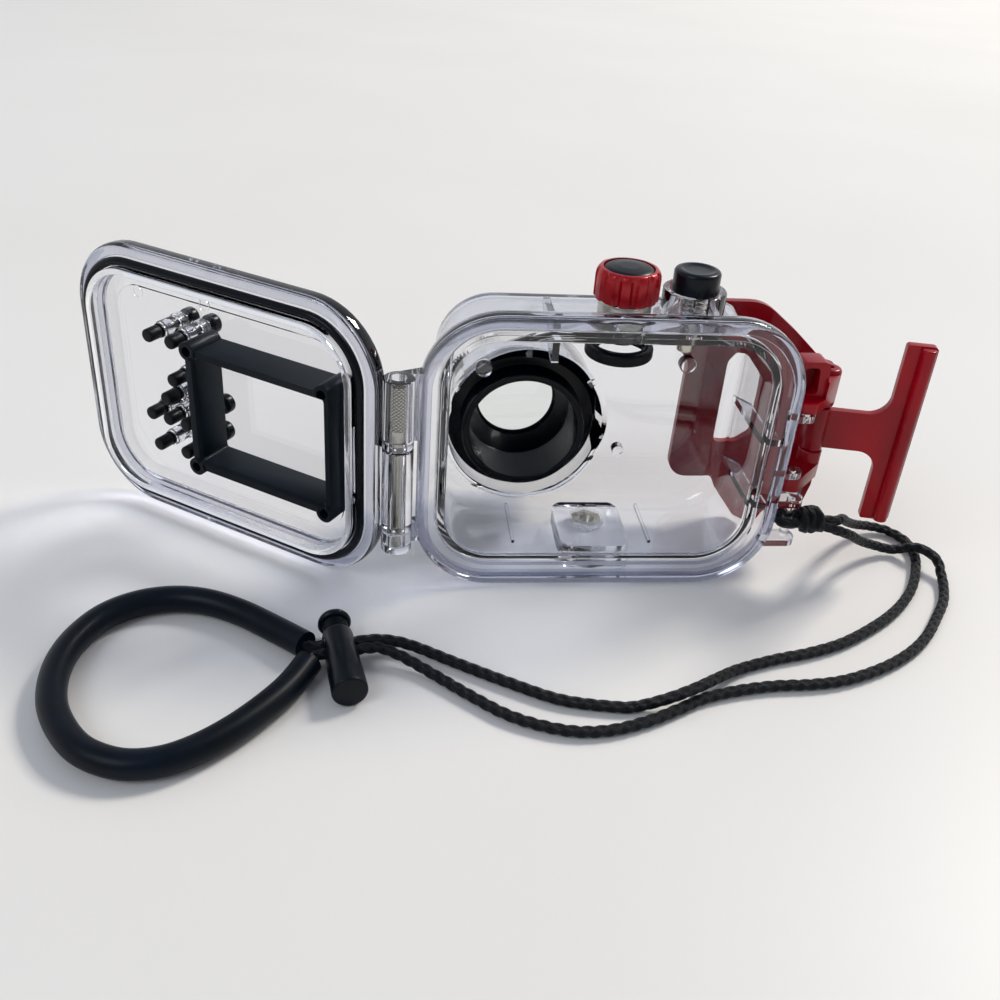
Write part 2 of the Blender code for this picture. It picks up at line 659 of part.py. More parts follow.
# Door: panel, rim and spigot as one clear moulding, drawn closed and turned open
DOOR = pivot("door_hinge_axis", HINGE_X, HINGE_Y, DOOR_OPEN)
DOOR_FACE_Y = SEAL_Y - DOOR_GAP
DOOR_BACK_Y = DOOR_FACE_Y - DOOR_THICK
PANEL_Y = DOOR_BACK_Y + DOOR_PANEL
SPIGOT_INNER = SPIGOT_OUTER + SPIGOT_WIDTH
door_profile = [(SPIGOT_INNER, PANEL_Y), (SPIGOT_INNER, SPIGOT_TIP_Y - 0.0004),
                (SPIGOT_INNER - 0.0004, SPIGOT_TIP_Y), (SPIGOT_OUTER + 0.0004, SPIGOT_TIP_Y),
                (SPIGOT_OUTER, SPIGOT_TIP_Y - 0.0004), (SPIGOT_OUTER, GASKET_GROOVE_Y),
                (RIM_WIDTH, GASKET_GROOVE_Y), (RIM_WIDTH, DOOR_FACE_Y)]
door_profile += quarter_round(DOOR_EDGE, DOOR_FACE_Y - DOOR_EDGE, DOOR_EDGE, math.pi / 2, 1, 2)
door_profile += quarter_round(DOOR_EDGE, DOOR_BACK_Y + DOOR_EDGE, DOOR_EDGE, math.pi, 1, 2)
door = loft("door_panel", [frame_ring(i, y) for i, y in door_profile], "clear")
door_arm_outline = [(0, -KNUCKLE_RADIUS + 0.0006),
                    (-SIDE_X - HINGE_X + 0.0016, DOOR_BACK_Y - HINGE_Y + 0.0018),
                    (-SIDE_X - HINGE_X + 0.0016, DOOR_FACE_Y - HINGE_Y - 0.0006), (0.0045, 0.0023),
                    (0, 0.0023)]
door_parts = [
    prism("door_arm", [(HINGE_X + u, HINGE_Y + v) for u, v in door_arm_outline],
          KNUCKLE_LOW + 2 * GAP, KNUCKLE_HIGH - 2 * GAP),
    knuckle("door_knuckle", KNUCKLE_LOW + GAP, KNUCKLE_HIGH - GAP),
]
door_cuts = [cylinder("door_pin_bore", PIN_RADIUS + GAP, HINGE_X, HINGE_Y, KNUCKLE_LOW - 0.001,
                      KNUCKLE_HIGH + 0.001, steps=16)]
outer_end = DOOR_BACK_Y - OUTER_BOSS_LENGTH
inner_end = PANEL_Y + INNER_BOSS_LENGTH
for name, (x, z) in BUTTONS.items():
    door_parts.append(cylinder(f"{name}_boss", INNER_BOSS_RADIUS, x, z, PANEL_Y - 0.001, inner_end, "Y",
                               steps=16))
    door_parts.append(cylinder(f"{name}_guard", OUTER_BOSS_RADIUS, x, z, outer_end, DOOR_BACK_Y + 0.001, "Y",
                               steps=16))
    door_cuts.append(turned(f"{name}_bore", [
        (0, inner_end + 0.001), (STEM_RADIUS + GAP, inner_end + 0.001),
        (STEM_RADIUS + GAP, outer_end + SPRING_WELL_DEPTH),
        (SPRING_WELL_RADIUS, outer_end + SPRING_WELL_DEPTH),
        (SPRING_WELL_RADIUS, outer_end - 0.001), (0, outer_end - 0.001)], (x, 0, z), "Y", steps=12))
add(door, *door_parts)

hood_posts = [(x, HOOD_Z + rise * POST_HALF_SPAN) for x in (HOOD_X - POST_LEFT, HOOD_X + POST_RIGHT)
              for rise in (-1, 1)]
hood_y = PANEL_Y + GAP
for number, (x, z) in enumerate(hood_posts):
    door_cuts.append(cylinder(f"screw_hole_{number}", SCREW_RADIUS + GAP, x, z, PANEL_Y - SCREW_BITE - GAP,
                              PANEL_Y + 0.001, "Y", steps=10))
cut(door, *door_cuts)

gasket = tube("door_gasket", frame_ring(GASKET_INSET, GASKET_Y), GASKET_SECTION, "black_rubber", closed=True)


def rectangle(width, height, grow=0.0):
    u = width / 2 + grow
    v = height / 2 + grow
    return [(HOOD_X + side * u, HOOD_Z + rise * v) for side, rise in ((-1, -1), (1, -1), (1, 1), (-1, 1))]


hood = prism("screen_hood", rectangle(HOOD_WINDOW_WIDTH, HOOD_WINDOW_HEIGHT, HOOD_WALL), hood_y,
             hood_y + HOOD_DEPTH, "Y", "black_rubber")
for number, (x, z) in enumerate(hood_posts):
    add(hood, cylinder(f"hood_post_{number}", HOOD_POST_RADIUS, x, z, hood_y + 0.0002,
                       hood_y + HOOD_DEPTH + 0.0006, "Y", steps=16))
cut(hood, prism("hood_window", rectangle(HOOD_WINDOW_WIDTH, HOOD_WINDOW_HEIGHT), hood_y - 0.001,
                hood_y + HOOD_DEPTH + 0.002, "Y"))
inside_spigot = [(x, z) for x, y, z in frame_ring(SPIGOT_INNER + HOOD_CLEAR, 0)]
boolean(hood, prism("hood_limit", inside_spigot, hood_y - 0.001, hood_y + 0.020, "Y"), "INTERSECT")
head_y = PANEL_Y - SCREW_BITE + SCREW_LENGTH
for number, (x, z) in enumerate(hood_posts):
    cut(hood, turned(f"screw_way_{number}", [
        (0, hood_y + HOOD_DEPTH + 0.002), (SCREW_HEAD_RADIUS + GAP, hood_y + HOOD_DEPTH + 0.002),
        (SCREW_HEAD_RADIUS + GAP, head_y - GAP), (SCREW_RADIUS + GAP, head_y - GAP),
        (SCREW_RADIUS + GAP, hood_y - 0.001), (0, hood_y - 0.001)], (x, 0, z), "Y", steps=10))


hood_screws = [turned(f"hood_screw_{number + 1}", [
    (0, head_y + SCREW_HEAD_HEIGHT), (SCREW_HEAD_RADIUS, head_y + SCREW_HEAD_HEIGHT),
    (SCREW_HEAD_RADIUS, head_y),
    (SCREW_RADIUS, head_y), (SCREW_RADIUS, PANEL_Y - SCREW_BITE), (0, PANEL_Y - SCREW_BITE)],
    (x, 0, z), "Y", "steel", steps=10) for number, (x, z) in enumerate(hood_posts)]

head_back = outer_end - BUTTON_TRAVEL - GAP
spring_base = outer_end + SPRING_WELL_DEPTH - GAP
spring_length = spring_base - (head_back + GAP)
report_gap("button_springs", SPRING_WIRE, spring_length, SPRING_CURLS)


def coil_along_y(name, x, z, radius, wire, length, curls, base):
    """A spring about a line along Y, from its base back towards -Y."""
    points = [Vector((x + p.x, base - p.z, z + p.y)) for p in coil_points(radius, wire, length, curls)]
    return tube(name, points, wire, "steel", 1)


button_springs = [coil_along_y(f"{name}_spring", x, z, SPRING_RADIUS, SPRING_WIRE, spring_length,
                               SPRING_CURLS, spring_base) for name, (x, z) in BUTTONS.items()]

# Push buttons: head, stem and collar in one, with a rubber tip over the stem
collar_y = inner_end + GAP
stem_end = collar_y + COLLAR_THICK + TIP_LENGTH - 0.0015
buttons = []
for name, (x, z) in BUTTONS.items():
    buttons.append(turned(name, [
        (0, stem_end), (STEM_RADIUS, stem_end), (STEM_RADIUS, collar_y + COLLAR_THICK),
        (COLLAR_RADIUS, collar_y + COLLAR_THICK), (COLLAR_RADIUS, collar_y), (STEM_RADIUS, collar_y),
        (STEM_RADIUS, head_back), (HEAD_RADIUS, head_back), (HEAD_RADIUS, head_back - HEAD_LENGTH + 0.0006),
        (HEAD_RADIUS - 0.0006, head_back - HEAD_LENGTH), (0, head_back - HEAD_LENGTH)],
        (x, 0, z), "Y", "black_plastic", steps=12))
    tip_y = collar_y + COLLAR_THICK + GAP
    buttons.append(turned(f"{name}_tip", [
        (0, tip_y + TIP_LENGTH), (TIP_RADIUS - 0.0005, tip_y + TIP_LENGTH),
        (TIP_RADIUS, tip_y + TIP_LENGTH - 0.0005), (TIP_RADIUS, tip_y), (STEM_RADIUS + GAP, tip_y),
        (STEM_RADIUS + GAP, stem_end + GAP), (0, stem_end + GAP)],
        (x, 0, z), "Y", "black_rubber", steps=12))
carry(DOOR, door, gasket, hood, *hood_screws, *button_springs, *buttons)
carry(DOOR, *guides_of(door, hood))


# Mode dial
dial_place = (DIAL_X, DIAL_Y, 0)
collar_z = TOP_Z + GAP
knob_z = collar_z + COLLAR_HEIGHT + GAP
knob_top = knob_z + KNOB_HEIGHT
shaft_top = knob_top - DIAL_CAP_THICK - 0.0012
wheel_z = CEILING_Z - WHEEL_DROP - WHEEL_THICK
dial_gland = turned("dial_gland", [(DIAL_SHAFT_RADIUS + GAP, TOP_Z - GAP), (GLAND_RADIUS, TOP_Z - GAP),
                                   (GLAND_RADIUS, TOP_Z - GLAND_LENGTH),
                                   (DIAL_SHAFT_RADIUS + GAP, TOP_Z - GLAND_LENGTH)],
                    dial_place, finish="black_plastic", steps=24, closed=True)
turned("dial_collar", [(DIAL_SHAFT_RADIUS + GAP, collar_z + COLLAR_HEIGHT),
                       (DIAL_COLLAR_RADIUS - 0.0005, collar_z + COLLAR_HEIGHT),
                       (DIAL_COLLAR_RADIUS, collar_z + COLLAR_HEIGHT - 0.0005),
                       (DIAL_COLLAR_RADIUS, collar_z),
                       (DIAL_SHAFT_RADIUS + GAP, collar_z)],
       dial_place, finish="steel", steps=28, closed=True)


def fluted(radius, z):
    """A round outline with shallow flutes, at a height."""
    made = []
    for i in range(KNOB_FLUTES * 4):
        a = 2 * math.pi * i / (KNOB_FLUTES * 4)
        dip = KNOB_FLUTE * (1 - math.cos(KNOB_FLUTES * a)) / 2
        made.append(((radius - dip) * math.cos(a), (radius - dip) * math.sin(a), z))
    return made


knob = loft("mode_dial", [fluted(KNOB_RADIUS - 0.0004, knob_z), fluted(KNOB_RADIUS, knob_z + 0.0004),
                          fluted(KNOB_RADIUS, knob_top - 0.0016),
                          fluted(KNOB_RADIUS - 0.0007, knob_top - 0.0005),
                          fluted(KNOB_RADIUS - 0.0016, knob_top)], "red_metal")
knob.location = dial_place
cap_seat = knob_top - DIAL_CAP_THICK
cut(knob,
    turned("cap_recess", [(0, knob_top + 0.001), (DIAL_CAP_RADIUS + GAP, knob_top + 0.001),
                          (DIAL_CAP_RADIUS + GAP, cap_seat), (0, cap_seat)], dial_place, steps=28),
    turned("shaft_hole", [(0, shaft_top + GAP), (DIAL_SHAFT_RADIUS + GAP, shaft_top + GAP),
                          (DIAL_SHAFT_RADIUS + GAP, knob_z - 0.001), (0, knob_z - 0.001)],
           dial_place, steps=16))
turned("dial_cap", [(0, knob_top + 0.0006), (DIAL_CAP_RADIUS * 0.6, knob_top + 0.0004),
                    (DIAL_CAP_RADIUS, knob_top - 0.0003), (DIAL_CAP_RADIUS, cap_seat + GAP),
                    (0, cap_seat + GAP)],
       dial_place, finish="black_plastic", steps=28)
turned("dial_shaft", [(0, shaft_top), (DIAL_SHAFT_RADIUS, shaft_top), (DIAL_SHAFT_RADIUS, wheel_z),
                      (0, wheel_z)],
       dial_place, finish="steel", steps=16)
wheel = turned("dial_wheel", [(DIAL_SHAFT_RADIUS + GAP, wheel_z + WHEEL_THICK),
                              (WHEEL_RADIUS, wheel_z + WHEEL_THICK),
                              (WHEEL_RADIUS, wheel_z), (DIAL_SHAFT_RADIUS + GAP, wheel_z)],
               dial_place, finish="black_plastic", steps=28, closed=True)


def arc_slot(name, inner, outer, middle, spread, low, high):
    """A curved slot through the wheel."""
    steps = 6
    turns = [middle - spread / 2 + spread * k / steps for k in range(steps + 1)]
    outline = [(outer * math.cos(a), outer * math.sin(a)) for a in turns]
    outline += [(inner * math.cos(a), inner * math.sin(a)) for a in reversed(turns)]
    return prism(name, [(DIAL_X + u, DIAL_Y + v) for u, v in outline], low, high)


for number in range(2):
    cut(wheel, arc_slot(f"wheel_slot_{number}", DIAL_SHAFT_RADIUS + 0.0018, WHEEL_RADIUS - 0.0012,
                        -math.pi / 2 + math.pi * number, math.radians(130), wheel_z - 0.001,
                        wheel_z + WHEEL_THICK + 0.001))
turned("dial_tyre", [(WHEEL_RADIUS + GAP, wheel_z + WHEEL_THICK),
                     (TYRE_RADIUS - 0.0006, wheel_z + WHEEL_THICK),
                     (TYRE_RADIUS, wheel_z + WHEEL_THICK - 0.0006),
                     (TYRE_RADIUS, wheel_z + WHEEL_THICK - TYRE_HEIGHT),
                     (WHEEL_RADIUS + GAP, wheel_z + WHEEL_THICK - TYRE_HEIGHT)],
       dial_place, finish="black_rubber", steps=28, closed=True)

# Shutter button
shutter_place = (SHUTTER_X, SHUTTER_Y, 0)
cap_low = TOP_Z + SHUTTER_RAISE
cap_high = cap_low + SHUTTER_CAP_HEIGHT
stem_top = cap_high - 0.002
turned("shutter_button", [(0, cap_high - SHUTTER_DISH),
                          (SHUTTER_CAP_RADIUS * 0.55, cap_high - SHUTTER_DISH * 0.8),
                          (SHUTTER_CAP_RADIUS * 0.75, cap_high),
                          (SHUTTER_CAP_RADIUS - 0.0008, cap_high - 0.0004),
                          (SHUTTER_CAP_RADIUS, cap_high - 0.0016), (SHUTTER_CAP_RADIUS, cap_low),
                          (SHUTTER_STEM_RADIUS + GAP, cap_low), (SHUTTER_STEM_RADIUS + GAP, stem_top + GAP),
                          (0, stem_top + GAP)],
       shutter_place, finish="black_plastic", steps=24)
pad_top = boss_bottom - GAP
turned("shutter_stem", [(0, stem_top), (SHUTTER_STEM_RADIUS, stem_top), (SHUTTER_STEM_RADIUS, pad_top),
                        (PAD_RADIUS, pad_top), (PAD_RADIUS, pad_top - PAD_HEIGHT + 0.0005),
                        (PAD_RADIUS - 0.0005, pad_top - PAD_HEIGHT), (0, pad_top - PAD_HEIGHT)],
       shutter_place, finish="steel", steps=14)
spring_low = TOP_Z + GAP
shutter_run = cap_low - GAP - spring_low
report_gap("shutter_spring", SHUTTER_SPRING_WIRE, shutter_run, SHUTTER_SPRING_CURLS)
tube("shutter_spring", [Vector((SHUTTER_X, SHUTTER_Y, spring_low)) + p for p in
                        coil_points(SHUTTER_SPRING_RADIUS, SHUTTER_SPRING_WIRE, shutter_run,
                                    SHUTTER_SPRING_CURLS, 9)],
     SHUTTER_SPRING_WIRE, "steel", 1)


# Latch lever: a band round the housing's front corner, cut to its side view
LEVER = pivot("lever_axis", LEVER_X, LEVER_Y)
band_y = FRONT_Y + LEVER_CLEAR
side_out = HOOK_X + BARREL_RADIUS
side_in = side_out - LEVER_THICK
lever_top = FLANGE_HEIGHT - 0.0105
plan = rounded([(LEVER_TIP_X, band_y), (SIDE_X + 0.001, band_y), (side_in - 0.0045, 0.036), (side_in, 0.026),
                (side_in, HOOK_Y + 0.001), (side_out, HOOK_Y + 0.001), (side_out, 0.027),
                (side_out - 0.004, 0.0385), (SIDE_X + 0.0022, band_y + LEVER_THICK),
                (LEVER_TIP_X, band_y + LEVER_THICK)],
               [0, 0.006, 0.006, 0.006, 0, 0, 0.006, 0.006, 0.008, 0])
lever = prism("latch_lever", plan, 0.010, lever_top + 0.0025, "Z", "red_plastic")
side_view = rounded([(LEVER_TIP_X, lever_top), (SIDE_X + 0.004, lever_top),
                     (side_out + 0.0013, lever_top - 0.0095), (side_out + 0.0013, 0.038),
                     (SIDE_X + 0.013, 0.029), (SIDE_X + 0.005, 0.020), (SIDE_X - 0.001, 0.0135),
                     (GRIP_LEFT + 0.002, 0.0145), (GRIP_LEFT, 0.020), (GRIP_LEFT, lever_top - 0.0235),
                     (GRIP_LEFT - 0.0056, lever_top - 0.0165), (LEVER_TIP_X, lever_top - 0.0125)],
                    [0.004, 0.020, 0.006, 0, 0.006, 0.006, 0.008, 0.006, 0.004, 0.006, 0.006, 0.002], 4)
boolean(lever, prism("lever_view", side_view, -0.01, 0.06, "Y"), "INTERSECT")
window = rounded([(GRIP_RIGHT, 0.0365), (GRIP_RIGHT, lever_top - 0.023),
                  (GRIP_RIGHT + 0.004, lever_top - 0.0195), (GRIP_RIGHT + 0.0105, lever_top - 0.0205),
                  (GRIP_RIGHT + 0.017, lever_top - 0.0275), (GRIP_RIGHT + 0.017, 0.040),
                  (GRIP_RIGHT + 0.0115, 0.0355)],
                 [0.003, 0.004, 0.002, 0.004, 0.004, 0.004, 0.004])
cut(lever, prism("lever_window", window, 0.030, 0.06, "Y"))


def fork_plan():
    """The lever's arm from its pivot past the hook's pivot into the band."""
    return rounded([(LEVER_X + 0.0022, LEVER_Y - 0.0022), (side_out - 0.0005, HOOK_Y - 0.0025),
                    (side_out - 0.0005, HOOK_Y + 0.008), (side_in - 0.0015, HOOK_Y + 0.012),
                    (side_in - 0.0085, HOOK_Y + 0.006), (LEVER_X - 0.0024, LEVER_Y + 0.0022),
                    (LEVER_X - 0.0028, LEVER_Y - 0.001)],
                   [0.0018, 0.003, 0, 0, 0.004, 0.002, 0.001])


lug_low = LEVER_LUG_LOW - GAP
lug_high = LEVER_LUG_HIGH + LEVER_LUG_THICK + GAP
add(lever, prism("low_fork", fork_plan(), FORK_LOW, lug_low),
    prism("high_fork", fork_plan(), lug_high, FORK_HIGH),
    cylinder("low_barrel", BARREL_RADIUS, HOOK_X, HOOK_Y, BARREL_LOW, HOOK_LOW - GAP, steps=20),
    cylinder("high_barrel", BARREL_RADIUS, HOOK_X, HOOK_Y, HOOK_HIGH + GAP, BARREL_HIGH, steps=20))
pin_reach = 0.0035
latch_pins = []
for name, inner, outer in (("lower", LEVER_LUG_LOW + LEVER_LUG_THICK - 0.0002, LEVER_LUG_LOW - pin_reach),
                           ("upper", LEVER_LUG_HIGH + 0.0002, LEVER_LUG_HIGH + LEVER_LUG_THICK + pin_reach)):
    low, high = sorted((inner, outer))
    cut(lever, cylinder(f"{name}_pin_hole", LATCH_PIN_RADIUS + GAP, LEVER_X, LEVER_Y, low - GAP, high + GAP,
                        steps=12))
    latch_pins.append(cylinder(f"{name}_latch_pin", LATCH_PIN_RADIUS, LEVER_X, LEVER_Y, low, high,
                               finish="steel", steps=12))
cut(lever, box("hook_notch", (HOOK_X - 0.006, HOOK_Y - 0.006, HOOK_LOW - GAP),
               (HOOK_X + 0.006, HOOK_Y + 0.0050, HOOK_HIGH + GAP)))
hook_pin_low = BARREL_LOW + 0.002
hook_pin_high = BARREL_HIGH - 0.002
cut(lever, cylinder("hook_pin_hole", LATCH_PIN_RADIUS + GAP, HOOK_X, HOOK_Y, hook_pin_low - GAP,
                    BARREL_HIGH + 0.001, steps=12))
cylinder("hook_pin", LATCH_PIN_RADIUS, HOOK_X, HOOK_Y, hook_pin_low, hook_pin_high, finish="steel", steps=12)

# Latch hook: a flat arm with a tall cross bar and a rounded lip, drawn along +X and turned
HOOK = pivot("hook_axis", HOOK_X, HOOK_Y, HOOK_REST)
arm_low = HOOK_LOW + 0.001
arm_high = HOOK_HIGH - 0.001
t_view = rounded([(0.0, arm_low), (HOOK_ARM, arm_low), (HOOK_ARM, BAR_LOW), (HOOK_REACH, BAR_LOW),
                  (HOOK_REACH, BAR_HIGH), (HOOK_ARM, BAR_HIGH), (HOOK_ARM, arm_high), (0.0, arm_high)],
                 [0, 0.007, 0.001, 0.001, 0.001, 0.001, 0.007, 0], 4)
hook = prism("latch_hook", [(HOOK_X + u, w) for u, w in t_view], HOOK_Y - HOOK_THICK / 2,
             HOOK_Y + HOOK_THICK / 2, "Y", "red_plastic")
add(hook, cylinder("hook_lip", LIP_RADIUS, HOOK_X + LIP_OUT, HOOK_Y - LIP_DEPTH, BAR_LOW + 0.0005,
                   BAR_HIGH - 0.0005, steps=14),
    cylinder("hook_knuckle", BARREL_RADIUS - GAP, HOOK_X, HOOK_Y, HOOK_LOW, HOOK_HIGH, steps=20))
cut(hook, cylinder("hook_bore", LATCH_PIN_RADIUS + GAP, HOOK_X, HOOK_Y, HOOK_LOW - 0.001, HOOK_HIGH + 0.001,
                   steps=12))
carry(HOOK, hook)
carry(HOOK, *guides_of(hook))
carry(LEVER, lever)
carry(LEVER, *guides_of(lever))


# Lanyard: one cord, doubled. It loops round the bracket's bar, is knotted there, and both
# strands lie on the table as far as the cord lock.
loop_radius = BRACKET_BAR_RADIUS + CORD_DIAMETER / 2 + 2 * GAP
KNOT = Vector((BRACKET_BAR_X + 0.0108, 0.0, 0.024))
KNOT_RADIUS = 0.0052
turns = [math.radians(60 + 30 * k) for k in range(9)]
loop = [Vector((BRACKET_BAR_X + loop_radius * math.cos(a), loop_radius * math.sin(a), KNOT.z + 0.0005))
        for a in turns]
STRAND_A = [(0.0900, 0.0018, 0.0245), (0.0960, 0.0078, 0.0215), (0.1040, 0.0185, 0.0132),
            (0.1120, 0.0260, 0.0070), (0.1205, 0.0300, 0.0035), (0.1280, 0.0290, 0.0020),
            (0.1325, 0.0220, 0.0019), (0.1322, 0.0120, 0.0019), (0.1275, 0.0005, 0.0019),
            (0.1205, -0.0110, 0.0019), (0.1110, -0.0215, 0.0019), (0.0990, -0.0310, 0.0019),
            (0.0832, -0.0405, 0.0019), (0.0689, -0.0458, 0.0019), (0.0551, -0.0492, 0.0019),
            (0.0412, -0.0540, 0.0021), (0.0310, -0.0612, 0.0045), (0.0225, -0.0672, 0.0061),
            (0.0130, -0.0700, 0.0045), (0.0030, -0.0708, 0.0021), (-0.0043, -0.0705, 0.0019),
            (-0.0207, -0.0669, 0.0019), (-0.0369, -0.0582, 0.0019), (-0.0532, -0.0482, 0.0019),
            (-0.0650, -0.0415, 0.0026), (-0.0720, -0.0402, 0.0042), (-0.0787, -0.0408, 0.0055),
            (-0.08557, -0.04217, 0.00575)]
STRAND_B = [(0.0900, -0.0022, 0.0228), (0.0975, 0.0010, 0.0185), (0.1060, 0.0085, 0.0110),
            (0.1150, 0.0135, 0.0055), (0.1240, 0.0145, 0.0028), (0.1315, 0.0110, 0.0061),
            (0.1362, 0.0040, 0.0058), (0.1362, -0.0030, 0.0026), (0.1340, -0.0100, 0.0019),
            (0.1300, -0.0180, 0.0019), (0.1230, -0.0275, 0.0019), (0.1144, -0.0379, 0.0019),
            (0.1040, -0.0468, 0.0019), (0.0908, -0.0544, 0.0019), (0.0757, -0.0600, 0.0019),
            (0.0632, -0.0618, 0.0019), (0.0509, -0.0622, 0.0019), (0.0381, -0.0641, 0.0019),
            (0.0256, -0.0675, 0.0019), (0.0162, -0.0722, 0.0019), (0.0058, -0.0770, 0.0019),
            (-0.0062, -0.0806, 0.0019), (-0.0172, -0.0811, 0.0019), (-0.0279, -0.0783, 0.0019),
            (-0.0385, -0.0730, 0.0019), (-0.0489, -0.0644, 0.0019), (-0.0594, -0.0550, 0.0021),
            (-0.0660, -0.0500, 0.0030), (-0.0720, -0.0467, 0.0044), (-0.0780, -0.0449, 0.0055),
            (-0.08486, -0.0462, 0.00575)]
WRIST = [(-0.1010, -0.0429, 0.0053), (-0.1106, -0.0345, 0.0047), (-0.1231, -0.0250, 0.0046),
         (-0.1353, -0.0188, 0.0046), (-0.1471, -0.0171, 0.0046), (-0.1585, -0.0200, 0.0046),
         (-0.1681, -0.0276, 0.0046), (-0.1743, -0.0403, 0.0046), (-0.1760, -0.0536, 0.0046),
         (-0.1737, -0.0674, 0.0046), (-0.1678, -0.0791, 0.0046), (-0.1601, -0.0877, 0.0046),
         (-0.1493, -0.0926, 0.0046), (-0.1386, -0.0921, 0.0046), (-0.1290, -0.0875, 0.0046),
         (-0.1198, -0.0800, 0.0046), (-0.1113, -0.0706, 0.0046), (-0.1048, -0.0615, 0.0047),
         (-0.0996, -0.0515, 0.0053)]


def meshed(curve_object):
    """The curve's tube as a mesh with welded caps, which Boolean modifiers accept."""
    ready = curve_object.evaluated_get(bpy.context.evaluated_depsgraph_get())
    shape = bpy.data.meshes.new_from_object(ready)
    bm = bmesh.new()
    bm.from_mesh(shape)
    bmesh.ops.remove_doubles(bm, verts=bm.verts, dist=0.00001)
    made = finished(curve_object.name + "_solid", bm)
    made.matrix_world = curve_object.matrix_world
    bpy.data.objects.remove(curve_object)
    return made


knot = bmesh.new()
bmesh.ops.create_uvsphere(knot, u_segments=12, v_segments=8, radius=KNOT_RADIUS,
                          matrix=Matrix.Translation(KNOT))
cord = finished("lanyard_cord", knot, "cord")
inside = KNOT.x - 0.002
routes = {
    "loop": [Vector((inside, 0.0025, KNOT.z)), *loop, Vector((inside, -0.0025, KNOT.z))],
    "strand_a": [Vector((KNOT.x, 0.0008, KNOT.z)), *smooth_route(STRAND_A, CORD_DIAMETER * 3)],
    "strand_b": [Vector((KNOT.x, -0.0012, KNOT.z)), *smooth_route(STRAND_B, CORD_DIAMETER * 3)],
}
for name, route in routes.items():
    add(cord, meshed(tube(name, route, CORD_DIAMETER, "cord")))

wrist = smooth_route(WRIST, WRIST_DIAMETER * 1.6)
first = wrist[0] + (wrist[0] - wrist[1]).normalized() * 0.0003
last = wrist[-1] + (wrist[-1] - wrist[-2]).normalized() * 0.0003
wrist = [Vector((-0.0950, -0.0438, 0.00575)), Vector((-0.0982, -0.0442, 0.0057)), first] + wrist
wrist += [last, Vector((-0.0974, -0.0486, 0.0057)), Vector((-0.0943, -0.0479, 0.00575))]
ends = (0, 1, 2, len(wrist) - 3, len(wrist) - 2, len(wrist) - 1)
tube("wrist_tube", wrist, WRIST_DIAMETER, "black_rubber", 2, thin=ends)

LOCK = pivot("lock_axis", LOCK_X, LOCK_Y, LOCK_TURN)
lock_top = LOCK_Y + LOCK_LENGTH / 2
lock_low = LOCK_Y - LOCK_LENGTH / 2
slot_y = lock_top - CORD_SLOT_FROM_TOP
barrel = cylinder("lock_barrel", LOCK_RADIUS, LOCK_X, LOCK_RADIUS, lock_low, lock_top, "Y",
                  "black_plastic", 20)
bore_floor = lock_top - LOCK_BORE_DEPTH
slot_low = slot_y - CORD_SLOT_WIDTH / 2
slot_high = slot_y + CORD_SLOT_WIDTH / 2
cut(barrel,
    cylinder("lock_bore", PLUNGER_RADIUS + GAP, LOCK_X, LOCK_RADIUS, bore_floor, lock_top + 0.001, "Y",
             steps=16),
    box("barrel_slot", (LOCK_X - 0.01, slot_low, LOCK_RADIUS - CORD_SLOT_HEIGHT / 2),
        (LOCK_X + 0.01, slot_high, LOCK_RADIUS + CORD_SLOT_HEIGHT / 2)))
plunger_end = bore_floor + 0.0085
head_low = lock_top + PLUNGER_REACH - PLUNGER_HEAD_THICK
plunger = turned("lock_plunger", [
    (0, lock_top + PLUNGER_REACH), (PLUNGER_HEAD_RADIUS - 0.0008, lock_top + PLUNGER_REACH),
    (PLUNGER_HEAD_RADIUS, lock_top + PLUNGER_REACH - 0.0008), (PLUNGER_HEAD_RADIUS, head_low),
    (PLUNGER_RADIUS - 0.0008, head_low), (PLUNGER_RADIUS - 0.0008, head_low - 0.0009),
    (PLUNGER_RADIUS, head_low - 0.0013), (PLUNGER_RADIUS, plunger_end), (0, plunger_end)],
    (LOCK_X, 0, LOCK_RADIUS), "Y", "black_plastic", steps=16)
cut(plunger, box("plunger_slot", (LOCK_X - 0.01, slot_low, LOCK_RADIUS - CORD_SLOT_HEIGHT / 2),
                 (LOCK_X + 0.01, slot_high, LOCK_RADIUS + CORD_SLOT_HEIGHT / 2)))
lock_run = plunger_end - GAP - (bore_floor + GAP)
lock_spring = coil_along_y("lock_spring", LOCK_X, LOCK_RADIUS, LOCK_SPRING_RADIUS, LOCK_SPRING_WIRE,
                           lock_run, LOCK_SPRING_CURLS, plunger_end - GAP)
report_gap("lock_spring", LOCK_SPRING_WIRE, lock_run, LOCK_SPRING_CURLS)
carry(LOCK, barrel, plunger, lock_spring)
carry(LOCK, *guides_of(barrel, plunger))
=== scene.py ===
# Clear underwater camera housing with its door open, its latch hook out and its lanyard on the table
import json
import math

import bmesh
import bpy
from mathutils import Matrix, Vector

